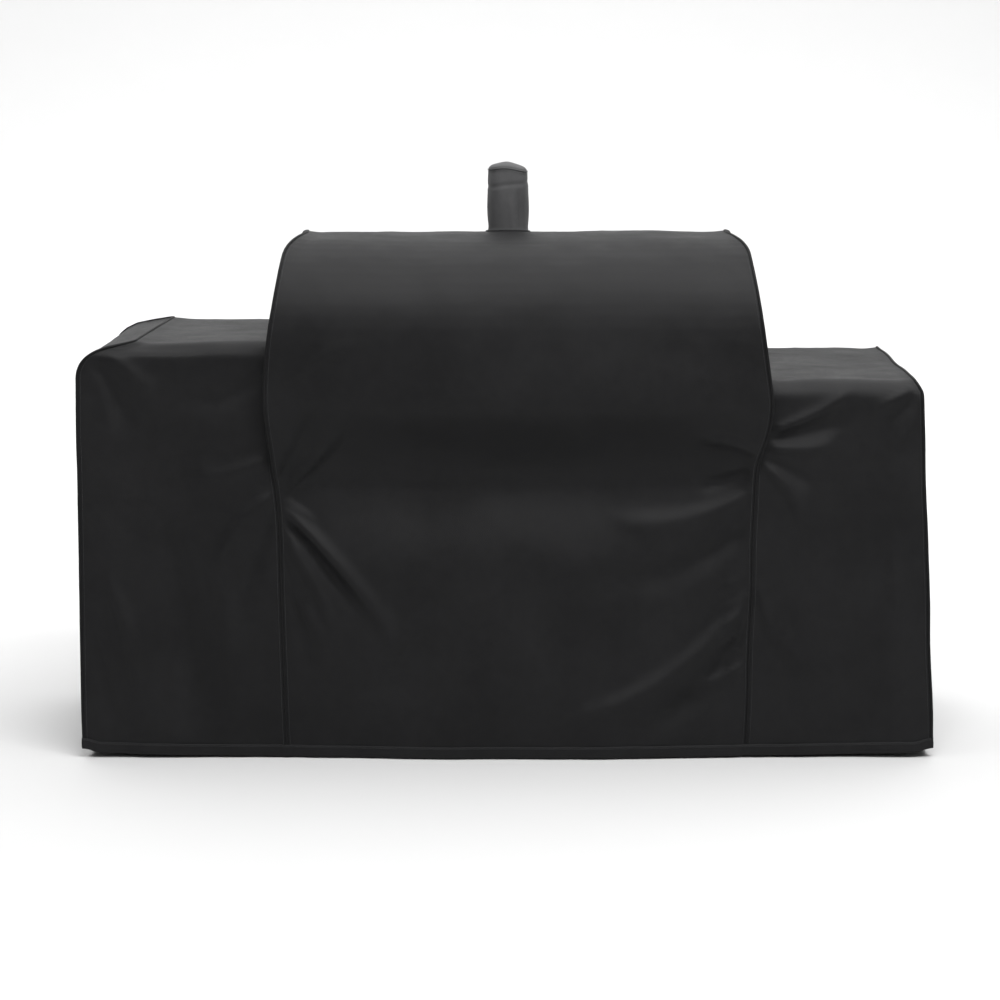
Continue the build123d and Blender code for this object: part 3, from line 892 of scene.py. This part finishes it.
def stitches(pile, path, facing, closed=False):
    """A row of stitches along a path: each is a short thread that comes up, crosses and dives in again."""
    path = np.asarray(path, float)
    facing = np.broadcast_to(facing, path.shape)
    if closed:
        path = np.concatenate([path, path[:1]])
        facing = np.concatenate([facing, facing[:1]])
    run = lengths(path)
    starts = np.arange(STITCH_PITCH / 2, run[-1] - STITCH_LENGTH, STITCH_PITCH)
    at = starts[:, None] + np.array([0.0, 0.22, 0.78, 1.0]) * STITCH_LENGTH
    centre = read_at(at, run, path)
    out = read_at(at, run, facing)
    ahead = unit(centre[:, -1:] - centre[:, :1])
    side = np.cross(out, np.broadcast_to(ahead, out.shape))
    lift = np.array([-0.9, 0.25, 0.25, -0.9]) * THREAD_RADIUS
    angle = np.arange(5) * 2 * math.pi / 5
    ring = np.cos(angle)[:, None] * side[:, :, None] + np.sin(angle)[:, None] * out[:, :, None]
    p = (centre + lift[:, None] * out)[:, :, None] + THREAD_RADIUS * ring
    quads = grid_faces(4, 5, wrap=True, flip=True)
    faces = (quads[None] + 20 * np.arange(len(starts))[:, None, None]).reshape(-1, 4)
    return pile.add(p, faces, np.zeros((p.size // 3, 2)))


def slab_patch(pile, wall, centre, size, base, thickness, cells=(14, 14), bulge=0.0):
    """A flat rectangle of cloth or webbing sewn on a wall, with soft edges. A negative thickness faces
    inwards."""
    lips = np.array([0.0, 0.0, 0.0004, 0.0014])
    drops = np.array([0.0, 0.55, 0.88, 1.0])

    def line(width, count):
        inner = np.linspace(0.004, width - 0.004, count)
        return np.concatenate([lips, inner, width - lips[::-1]]) - width / 2

    def rise(count):
        return np.concatenate([drops, np.ones(count), drops[::-1]])

    a, b = line(size[0], cells[0]), line(size[1], cells[1])
    height = np.minimum(rise(cells[0])[:, None], rise(cells[1])[None, :])
    crown = np.cos(a / size[0] * 2.6)[:, None] * np.cos(b / size[1] * 2.6)[None, :]
    a, b = np.broadcast_arrays(a[:, None], b[None, :])
    p = wall.at(centre[0] + a, centre[1] + b, base + thickness * height + bulge * crown)
    return pile.grid(p, np.stack([a, b], axis=-1), flip=thickness < 0)


def straight(wall, start, end, n, count=24):
    a = np.linspace(start[0], end[0], count)
    b = np.linspace(start[1], end[1], count)
    return wall.at(a, b, n)


def sew_line(pile, wall, start, end, n):
    """A straight row of stitches on a wall, at height n above it."""
    stitches(pile, straight(wall, start, end, n), wall.n)


def sew_rectangle(pile, wall, centre, size, n, step=0.002):
    """A row of stitches round a rectangle on a wall."""
    w, h = size[0] / 2, size[1] / 2
    corners = np.array([(-w, -h), (w, -h), (w, h), (-w, h), (-w, -h)]) + centre
    path = resampled(corners, step)[:-1]
    stitches(pile, wall.at(path[:, 0], path[:, 1], n), wall.n, closed=True)


# Piping: a cord wrapped in binding tape, along every long seam
EDGE = {
    "hood_piping_left": ("centre", (slice(None), 0)),
    "hood_piping_right": ("centre", (slice(None), -1)),
    "gusset_piping_left": ("left_gusset", (0, slice(None))),
    "gusset_piping_right": ("right_gusset", (0, slice(None))),
    "end_piping_left": ("left", (slice(None), 0)),
    "end_piping_right": ("right", (slice(None), -1)),
}
seam_points = []
for name, (key, edge) in EDGE.items():
    path = panels[key][0][edge]
    if not name.startswith("gusset"):
        seam_points += [path[0], path[-1]]
    fine = resampled(path, 0.006)
    facing = read_at(lengths(fine), lengths(path), panel_normals(key)[edge])
    radius = PIPING_RADIUS * (1 + 0.05 * noise(fine, 0.03, 81)[:, None, None])
    section = flat_section(2.0, 2.0, 10, 1.0)[None] * radius
    swept(Pile(), fine, facing, section).place(name.replace("piping", "welt"), BINDING, "piping", name)

# Stitch rows beside the seams
for key in PANELS:
    outward = panel_normals(key)
    pile = Pile()
    for line in (2, -3):
        edge = (line, slice(None)) if "gusset" in key else (slice(None), line)
        stitches(pile, panels[key][0][edge], outward[edge])
    pile.place(f"seam_stitches_{key}", THREAD, "piping")


# Hem: the cloth folded over and sewn down, as one band round the foot, cut at the four corners
def hem_ring():
    """Points round the foot in order from the left front corner, and where the corners are."""
    runs = [
        np.concatenate([panels[key][0][0] for key in ("left", "centre", "right")]),
        panels["right_end"][0][0],
        np.concatenate([panels[key][0][-1][::-1] for key in ("right", "centre", "left")]),
        panels["left_end"][0][0][::-1],
    ]
    corners, points = [], []
    for run in runs:
        corners.append(len(points))
        keep = resampled(run[:, :2], 0.006)
        points.extend(keep[:-1])
    return np.array(points), corners


foot, corners = hem_ring()
foot = np.concatenate([foot, np.zeros((len(foot), 1))], axis=1)
ahead = directions(foot, closed=True)
foot_out = np.stack([ahead[:, 1], -ahead[:, 0], 0 * ahead[:, 0]], axis=1)
foot_bump = np.zeros(len(foot))
for seam in seam_points:
    near = np.hypot(foot[:, 0] - seam[0], foot[:, 1] - seam[1])
    foot_bump = foot_bump + 0.0034 * np.exp(-((near / 0.0075) ** 2))
# distance outside the cloth and height up the band, down its outside and up its inside
HEM_SECTION = [
    (0.0010, 0.0288), (0.0018, 0.0270), (0.0015, 0.0235), (0.0022, 0.0150), (0.0021, 0.0060),
    (0.0015, 0.0016), (0.0000, 0.0004), (-0.0016, 0.0016),
    (-0.0024, 0.0080), (-0.0024, 0.0180), (-0.0018, 0.0270),
]


def hem_points(indices, out, height):
    """Points of the hem at a distance outside the cloth and a height up the band."""
    base = foot[indices]
    grow = 0.5 + 0.5 * np.clip(out / 0.0015, -1, 1)
    wave = 0.0008 * noise(base, 0.05, 91) * np.clip(height / 0.02, 0, 1)
    p = base + foot_out[indices] * (out + wave + foot_bump[indices] * grow)[:, None]
    p[:, 2] = height + 0.0006 * noise(base, 0.09, 92) * (height > 0.01)
    p[:, 2] += hem_lift(p)
    return p


ring = [*range(len(foot)), 0]
ends = [*corners[1:], len(foot)]
for name, start, stop in zip(("front", "right", "back", "left"), corners, ends):
    indices = np.array(ring[start : stop + 1])
    p = np.stack([hem_points(indices, out, height) for out, height in HEM_SECTION], axis=1)
    run = np.broadcast_to(lengths(p[:, 0])[:, None], p.shape[:2])
    around = np.broadcast_to(np.array([height for _, height in HEM_SECTION]), p.shape[:2])
    hem = Pile().grid(p, np.stack([run, around], axis=-1), wrap=True, flip=True)
    hem.place(f"hem_band_{name}", HEM_CANVAS, "hem_cloth", f"hem_{name}")
    sewn = Pile()
    for height in (0.0232, 0.0258):
        stitches(sewn, hem_points(indices, 0.0017, height), foot_out[indices])
    sewn.place(f"hem_stitches_{name}", THREAD, "piping")


# Chimney: a sleeve that stands in the crest, with a slack cap
def chimney_grid(bottom, top, count):
    """The sleeve's side between two heights, with its dents and its lean."""
    z = np.linspace(bottom, top, count)[:, None]
    t = (np.arange(72) * 2 * math.pi / 72)[None, :]
    z, t = np.broadcast_arrays(z, t)
    up = (z - 1.20) / (CHIMNEY_TOP - 1.20)
    barrel = CHIMNEY_RADIUS + 0.0015 - 0.002 * (2 * up - 1) ** 2 + 0.0045 * (1 - smooth(up, 0.0, 0.16))
    direction = np.stack([np.cos(t), np.sin(t), 0 * t], axis=-1)
    p = direction * barrel[..., None]
    rough = 0.0016 * noise(p + (0, 0, 1) * z[..., None], (0.03, 0.03, 0.055), 33)
    groove = np.exp(-(((t - 5.42 + 0.25 * up) / 0.16) ** 2)) * (1 - smooth(up, 0.45, 0.80))
    ridge = np.exp(-(((t - 5.02 + 0.35 * up) / 0.13) ** 2)) * (1 - smooth(up, 0.30, 0.70))
    waist = np.exp(-(((up - 0.80 - 0.06 * np.cos(t - 0.6)) / 0.035) ** 2))
    dent = rough - 0.0050 * groove + 0.0022 * ridge - 0.0014 * waist
    p = p + direction * dent[..., None]
    droop = 0.009 * smooth(np.cos(t), -0.1, 1.0) + 0.004 * smooth(-np.cos(t), 0.3, 1.0)
    p[..., 2] = z - droop * smooth(up, 0.35, 1.0)
    p[..., 1] += CHIMNEY_Y
    return p, np.stack([t * CHIMNEY_RADIUS, z], axis=-1)


def crest_z(x, y):
    """Height of the settled hood under a point near its top."""
    shape = panels["centre"][0].reshape(-1, 3)
    shape = shape[shape[:, 2] > 1.15]
    away = np.hypot(shape[None, :, 0] - x[:, None], shape[None, :, 1] - y[:, None])
    weight = 1 / (away + 0.002) ** 4
    return (weight * shape[None, :, 2]).sum(axis=1) / weight.sum(axis=1)


p, uv = chimney_grid(crest_z(np.zeros(1), np.full(1, CHIMNEY_Y))[0] - 0.012, CHIMNEY_TOP - 0.001, 60)
# the sleeve, its lid and its top seam use the lighter sleeve canvas, whose colour is painted light
sleeve = Pile().grid(p, uv, wrap=True, flip=True).build("chimney_cloth", PAINTED_LIGHT_SLEEVE_CANVAS)
thicken(sleeve)
place(sleeve, "cover", ["chimney_sleeve"])

rim = chimney_grid(CHIMNEY_TOP - 0.001, CHIMNEY_TOP, 2)[0][-1]
middle = rim.mean(axis=0)
inward = np.linspace(0, 1, 22)[:, None, None]
cap_grid = rim[None] + (middle - rim)[None] * inward
rise = 0.0175 * np.sqrt(np.clip(1 - (1 - inward[..., 0]) ** 2.6, 0, 1))
sag = 0.0022 * noise(cap_grid, (0.025, 0.025, 0.5), 35) - 0.003 * smooth(cap_grid[..., 0], 0.0, 0.045)
cap_grid[..., 2] += rise + sag * inward[..., 0]
cap_uv = np.stack([cap_grid[..., 0], cap_grid[..., 1]], axis=-1)
cap = Pile().grid(cap_grid, cap_uv, wrap=True, flip=True).build("chimney_lid", PAINTED_LIGHT_SLEEVE_CANVAS)
thicken(cap)
place(cap, "cover", ["chimney_cap"])

ring_path = resampled(np.concatenate([rim, rim[:1]]), 0.004)[:-1]
ring_out = ring_path - middle
binding = tube(Pile(), ring_path + (0, 0, 0.0006), ring_out, 0.0017, 8, closed=True)
binding.place("chimney_top_seam", PAINTED_LIGHT_SLEEVE_CANVAS, "piping", "chimney_top_binding")

angle = np.arange(120) * 2 * math.pi / 120
base_x = (CHIMNEY_RADIUS + 0.0035) * np.cos(angle)
base_y = CHIMNEY_Y + (CHIMNEY_RADIUS + 0.0035) * np.sin(angle)
base_z = crest_z(base_x, base_y) + 0.0004
base_path = np.stack([base_x, base_y, base_z], axis=-1)
binding = tube(Pile(), base_path, (0, 0, 1), 0.0030, 10, closed=True)
binding.place("chimney_foot_binding", BINDING, "piping", "chimney_base_binding")
sewn = Pile()
for height in (0.0045, 0.0070):
    row = chimney_grid(CHIMNEY_TOP - 0.004 - height, CHIMNEY_TOP - height, 2)[0][-1]
    stitches(sewn, row, unit(row - row.mean(axis=0)), closed=True)
sewn.place("chimney_stitches", THREAD, "piping")


# Vents in the back: woven mesh under a border, and a flap that hangs over them from a tape
def crossing_threads(pile, wall, size, pitch, radius):
    """Plain weave of round threads that fills a rectangle just behind the wall's face."""
    for across_first in (True, False):
        length, width = (size[0], size[1]) if across_first else (size[1], size[0])
        count = int(width / pitch)
        steps = np.arange(-length / 2, length / 2 + 1e-6, pitch / 2)
        for k in range(count):
            off = (k + 0.5 - count / 2) * pitch
            phase = 0 if k % 2 else math.pi
            swing = math.pi if across_first else 0
            wave = -0.0006 + 0.00035 * np.cos(steps / pitch * 2 * math.pi / 2 + phase + swing)
            a, b = (steps, 0 * steps + off) if across_first else (0 * steps + off, steps)
            tube(pile, wall.at(a, b, wave), wall.n, radius, 5)


def frame_border(pile, wall, hole, width, thickness):
    """Flat border round a rectangular hole, with mitred corners."""
    offsets = np.array([-0.0005, -0.0005, 0.0006, 0.004, width / 2, width - 0.004, width - 0.0008, width])
    heights = np.array([-0.0008, 0.55, 1.0, 0.92, 1.0, 0.92, 0.9, 0.0]) * thickness
    heights[0] = -0.0010
    rings = []
    for offset, height in zip(offsets, heights):
        half = np.array([hole[0] / 2 + offset, hole[1] / 2 + offset])
        base = resampled(np.array([(-1, -1), (1, -1)]), 2 / 60)[:, 0]
        tall = resampled(np.array([(-1, -1), (1, -1)]), 2 / 16)[:, 0]
        a = np.concatenate([base[:-1], 1 + 0 * tall[:-1], -base[:-1], -1 + 0 * tall[:-1]]) * half[0]
        b = np.concatenate([-1 + 0 * base[:-1], tall[:-1], 1 + 0 * base[:-1], -tall[:-1]]) * half[1]
        rings.append(np.stack([a, b, 0 * a + height], axis=-1))
    local = np.stack(rings)
    p = wall.at(local[..., 0], local[..., 1], local[..., 2])
    pile.grid(p, local[..., :2], wrap=True)


for side, sign in SIDES.items():
    wall = Wall(sign * VENT_X, back_y(VENT_Z), VENT_Z, (0, 1, BACK_SLOPE))
    mesh = Pile()
    crossing_threads(mesh, wall, (VENT_WIDTH + 0.010, VENT_HEIGHT + 0.010), 0.0042, 0.00062)
    mesh.place(f"vent_weave_{side}", MESH_THREAD, "vent_mesh", f"vent_mesh_{side}")
    border = Pile()
    frame_border(border, wall, (VENT_WIDTH, VENT_HEIGHT), VENT_BORDER, 0.0018)
    border.place(f"vent_frame_{side}", PATCH_CANVAS, "piping", f"vent_border_{side}")
    sewn = Pile()
    for inset in (0.003, VENT_BORDER - 0.003):
        size = (VENT_WIDTH + 2 * inset, VENT_HEIGHT + 2 * inset)
        sew_rectangle(sewn, wall, (0, 0), size, 0.0018)
    sewn.place(f"vent_stitches_{side}", THREAD, "piping")

    a = np.linspace(-FLAP_WIDTH / 2, FLAP_WIDTH / 2, 100)[None, :]
    b = np.linspace(FLAP_HINGE - FLAP_DROP, FLAP_HINGE - 0.0002, 40)[:, None]
    down = (FLAP_HINGE - b) / FLAP_DROP
    curl = 0.0022 * down**2 * (1 + 0.5 * noise(wall.at(a, b, 0), (0.09, 0.09, 0.2), 41 + sign))
    n = 0.0045 + curl + 0.0005 * noise(wall.at(a, b, 0), 0.03, 43)
    flap_grid = wall.at(a, b, n)
    flap_uv = np.stack(np.broadcast_arrays(a, b), axis=-1)
    flap = Pile().grid(flap_grid, flap_uv, flip=True).build(f"vent_cloth_{side}", CANVAS)
    thicken(flap, 0.0013)
    place(flap, f"flap_{side}", [f"vent_flap_{side}"])
    edge = np.concatenate([flap_grid[:0:-1, 0], flap_grid[0, :], flap_grid[1:, -1]])
    edge = resampled(edge, 0.004) - wall.n * 0.0006
    bound = swept(Pile(), edge, wall.n, flat_section(0.0085, 0.0034, 12, 0.7) + (0.0022, 0))
    bound.place(f"vent_hem_{side}", BINDING, "piping", f"flap_binding_{side}", f"flap_{side}")
    lip = [(-0.0002, 0.0002), (-0.0002, 0.0044), (0.0016, 0.0053), (0.0040, 0.0052), (0.0075, 0.0034)]
    lip = np.array([*lip, (0.0180, 0.0026), (0.0192, 0.0020), (0.0194, 0.0002)])[::-1]
    top_path = wall.at(np.linspace(-FLAP_WIDTH / 2, FLAP_WIDTH / 2, 60), FLAP_HINGE + 0.0006, 0.0)
    tape = swept(Pile(), top_path, wall.n, lip)
    tape.place(f"vent_tape_{side}", BINDING, "piping", f"flap_tape_{side}")
    sewn = Pile()
    for b_row, n_row in ((FLAP_HINGE + 0.0100, 0.0033), (FLAP_HINGE + 0.0160, 0.0028)):
        end_a = FLAP_WIDTH / 2 - 0.003
        sew_line(sewn, wall, (-end_a, b_row), (end_a, b_row), n_row)
    sewn.place(f"tape_stitches_{side}", THREAD, "piping")


# Lifting handles: a webbing loop with a padded grip, on two sewn feet
def cross_box(pile, wall, centre, size, n):
    """A sewn rectangle with its two diagonals."""
    sew_rectangle(pile, wall, centre, size, n, 0.001)
    w, h = size[0] / 2, size[1] / 2
    for sign in (-1, 1):
        start = (centre[0] - w, centre[1] - sign * h)
        end = (centre[0] + w, centre[1] + sign * h)
        sew_line(pile, wall, start, end, n)


for side, sign in SIDES.items():
    wall = Wall(end_x(side, HANDLE_Z), MIDDLE_Y, HANDLE_Z, (sign, 0, END_SLOPE[side]))
    feet = (-HANDLE_SPAN / 2, HANDLE_SPAN / 2)
    patches, ends_of_webbing, sewn = Pile(), Pile(), Pile()
    for foot_a in feet:
        patch_at = (foot_a, HANDLE_PATCH_B)
        slab_patch(patches, wall, patch_at, HANDLE_PATCH, PATCH_BASE, PATCH_RISE, bulge=0.0002)
        slab_patch(ends_of_webbing, wall, (foot_a, 0.0202), (WEBBING_WIDTH, 0.0396), 0.0015, 0.0028, (10, 16))
        cross_box(sewn, wall, (foot_a, 0.0215), (0.023, 0.031), 0.0043)
        sew_rectangle(sewn, wall, patch_at, (0.043, 0.055), 0.0021)
    patches.place(f"handle_base_{side}", PATCH_CANVAS, "patch_cloth", f"handle_patches_{side}")
    ends_of_webbing.place(f"handle_feet_{side}", WEBBING, "webbing", f"handle_ends_{side}")
    sewn.place(f"handle_stitches_{side}", THREAD, "webbing")

    loop = rounded(
        [(feet[0], 0.0004), (feet[0], -HANDLE_DROP), (feet[1], -HANDLE_DROP), (feet[1], 0.0004)],
        [HANDLE_BEND, HANDLE_BEND],
        0.003,
    )
    loop_path = wall.at(loop[:, 0], loop[:, 1], HANDLE_MIDDLE_N)
    webbing = swept(Pile(), loop_path, wall.n, flat_section(WEBBING_WIDTH, 0.0026))
    webbing.place(f"handle_webbing_{side}", WEBBING, "webbing", f"handle_loop_{side}", f"handle_{side}")

    a = np.linspace(-0.5, 0.5, 61)
    fullness = np.clip(1 - np.abs(2 * a) ** 5, 0, 1) ** 0.5
    wide = 0.0325 + (GRIP[1] - 0.0325) * fullness
    thick = 0.0042 + (GRIP[2] - 0.0042) * fullness * (1 - 0.05 * np.cos(a * 40))
    sections = np.stack([flat_section(w, t, 36, 0.62) for w, t in zip(wide, thick)])
    grip_path = wall.at(a * GRIP[0], -HANDLE_DROP, HANDLE_MIDDLE_N)
    pad = swept(Pile(), grip_path, wall.n, sections)
    pad_node = f"handle_grip_{side}"
    grip = pad.place(f"handle_pad_{side}", PATCH_CANVAS, "patch_cloth", pad_node, f"handle_{side}")
    sewn = Pile()
    for end_a in (-0.0405, 0.0405):
        low, high = -HANDLE_DROP - 0.0165, -HANDLE_DROP + 0.0165
        sew_line(sewn, wall, (end_a, low), (end_a, high), HANDLE_MIDDLE_N + 0.0041)
    low = -HANDLE_DROP - 0.0130
    sew_line(sewn, wall, (-0.037, low), (0.037, low), HANDLE_MIDDLE_N + 0.0041)
    sewn.place(f"grip_stitches_{side}", THREAD, "patch_cloth", body=f"handle_{side}")


# Cinch straps: webbing that runs to a ring, with a hook-and-loop tail folded back over it
def wrapped_bar(bar, arm_end, arm_n, end_n, toward):
    """Middle line of webbing that comes along the wall, goes round a bar and stops beside itself, as (a, n)
    pairs. toward is the direction from the arm to the bar."""
    radius = RING_WIRE + 0.0004 + STRAP_THICKNESS / 2
    above = arm_n > RING_N
    start = math.pi / 2 if above else -math.pi / 2
    turn = (-1 if above else 1) * np.linspace(0, math.radians(205), 26)
    round_a = bar + toward * radius * np.cos(start + turn)
    round_n = RING_N + radius * np.sin(start + turn)
    lead_n = RING_N + radius * (1 if above else -1)
    arm_a = np.linspace(arm_end, bar - toward * 0.004, 30)
    arm = np.stack([arm_a, arm_n + (lead_n - arm_n) * smooth(toward * (arm_a - bar), -0.022, -0.003)], axis=1)
    close = np.array([(bar - toward * 0.0070, (round_n[-1] + end_n) / 2), (bar - toward * 0.0110, end_n)])
    return resampled(np.concatenate([arm, np.stack([round_a, round_n], axis=1), close]), 0.0012)


for side, sign in SIDES.items():
    wall = Wall(end_x(side, STRAP_Z), MIDDLE_Y, STRAP_Z, (sign, 0, END_SLOPE[side]))
    to_front = -sign
    tab_bar = (RING_MIDDLE + RING_PITCH / 2) * to_front
    tail_bar = (RING_MIDDLE - RING_PITCH / 2) * to_front
    tape_middle = tail_bar - 0.074 * to_front
    band = flat_section(STRAP_WIDTH, STRAP_THICKNESS)

    patches, sewn = Pile(), Pile()
    for forward in STRAP_PATCHES:
        patch_at = (forward * to_front, 0)
        slab_patch(patches, wall, patch_at, STRAP_PATCH, PATCH_BASE, PATCH_RISE, bulge=0.0002)
        sew_rectangle(sewn, wall, patch_at, (0.047, 0.037), 0.0021)
        cross_box(sewn, wall, patch_at, (0.030, 0.019), 0.0049)
    patches.place(f"strap_base_{side}", PATCH_CANVAS, "patch_cloth", f"strap_patches_{side}")

    tail_end = tail_bar - TAIL_LENGTH * to_front
    pieces = {
        "strap_tab": ("cover", wrapped_bar(tab_bar, TAB_END * to_front, 0.0034, 0.0059, -to_front)),
        "strap_tail": (f"tail_{side}", wrapped_bar(tail_bar, tail_end, 0.0103, 0.0078, to_front)),
    }
    for piece, (body, line) in pieces.items():
        path = wall.at(line[:, 0], 0, line[:, 1])
        webbing = swept(Pile(), path, np.cross(directions(path), wall.b), band)
        webbing.place(f"{piece}_webbing_{side}", WEBBING, "webbing", f"{piece}_{side}", body)
    strap_end = tail_bar - 0.006 * to_front
    strap_path = straight(wall, (STRAP_START * to_front, 0), (strap_end, 0), 0.0035, 60)
    strap = swept(Pile(), strap_path, wall.n, band)
    strap.place(f"strap_webbing_{side}", WEBBING, "webbing", f"strap_{side}")

    loops = slab_patch(Pile(), wall, (tape_middle, 0), LOOP_TAPE, 0.0046, 0.0016, (30, 10))
    loops.place(f"loop_strip_{side}", LOOPS, "hook_and_loop", f"loop_tape_{side}")
    hooks = slab_patch(Pile(), wall, (tape_middle, 0), HOOK_TAPE, 0.0092, -0.0016, (20, 10))
    hooks.place(f"hook_strip_{side}", HOOKS, "hook_and_loop", f"hook_tape_{side}", f"tail_{side}")
    tail_sewn = Pile()
    sew_rectangle(tail_sewn, wall, (tape_middle, 0), (0.049, 0.018), 0.0116)
    tail_sewn.place(f"tail_stitches_{side}", THREAD, "webbing", body=f"tail_{side}")
    sewn.place(f"strap_stitches_{side}", THREAD, "webbing")
    ring_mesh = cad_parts[f"strap_ring_{side}"].data
    ring_mesh.materials.clear()
    ring_mesh.materials.append(PLASTIC)


# ---------------------------------------------------------------- stage, light and camera
def stage_sweep():
    """Pale floor that curves up into a backdrop."""
    path = rounded([(-FLOOR_FAR, 0.0), (BACKDROP_Y, 0.0), (BACKDROP_Y, 9.0)], [5.0], 0.25)
    wide = np.linspace(-FLOOR_FAR, FLOOR_FAR, 121)
    p = np.stack(np.broadcast_arrays(wide[None, :], path[:, :1], path[:, 1:]), axis=-1)
    floor = new_object("floor", p.reshape(-1, 3), grid_faces(*p.shape[:2], flip=True), floor_material())


def area_light(name, place_at, aim, size, watts):
    light = bpy.data.lights.new(name, "AREA")
    light.shape = "RECTANGLE"
    light.size, light.size_y = size
    light.energy = watts
    obj = bpy.data.objects.new(name, light)
    obj.location = place_at
    obj.rotation_euler = (Vector(aim) - Vector(place_at)).to_track_quat("-Z", "Y").to_euler()
    bpy.context.scene.collection.objects.link(obj)


def soft_sun(name, strength, spread):
    """Even light from straight above, as from a very large softbox."""
    light = bpy.data.lights.new(name, "SUN")
    light.energy = strength
    light.angle = spread
    bpy.context.scene.collection.objects.link(bpy.data.objects.new(name, light))


def camera():
    data = bpy.data.cameras.new("camera")
    data.lens = 89.85
    data.sensor_width = 36
    data.shift_x = -0.008
    data.shift_y = -0.0313
    obj = bpy.data.objects.new("camera", data)
    obj.location = CAMERA_PLACE
    obj.rotation_euler = (Vector(CAMERA_AIM) - obj.location).to_track_quat("-Z", "Y").to_euler()
    bpy.context.scene.collection.objects.link(obj)
    bpy.context.scene.camera = obj


stage_sweep()
soft_sun("ceiling", 1.3, 1.5)
area_light("overhead", (0.0, 1.5, 4.4), (0, 1.5, 0), (9.0, 7.0), 250)
area_light("key", (1.0, -2.8, 4.6), (0, 0, 0.7), (3.6, 1.2), 200)
area_light("backdrop wash", (0.0, 6.0, 5.6), (0, 9.5, 0.5), (16.0, 4.0), 830)
world = bpy.data.worlds.new("world")
world.use_nodes = True
world.node_tree.nodes["Background"].inputs["Color"].default_value = (1, 1, 1, 1)
world.node_tree.nodes["Background"].inputs["Strength"].default_value = 0.26
bpy.context.scene.world = world
bpy.context.scene.view_settings.view_transform = "Standard"
camera()
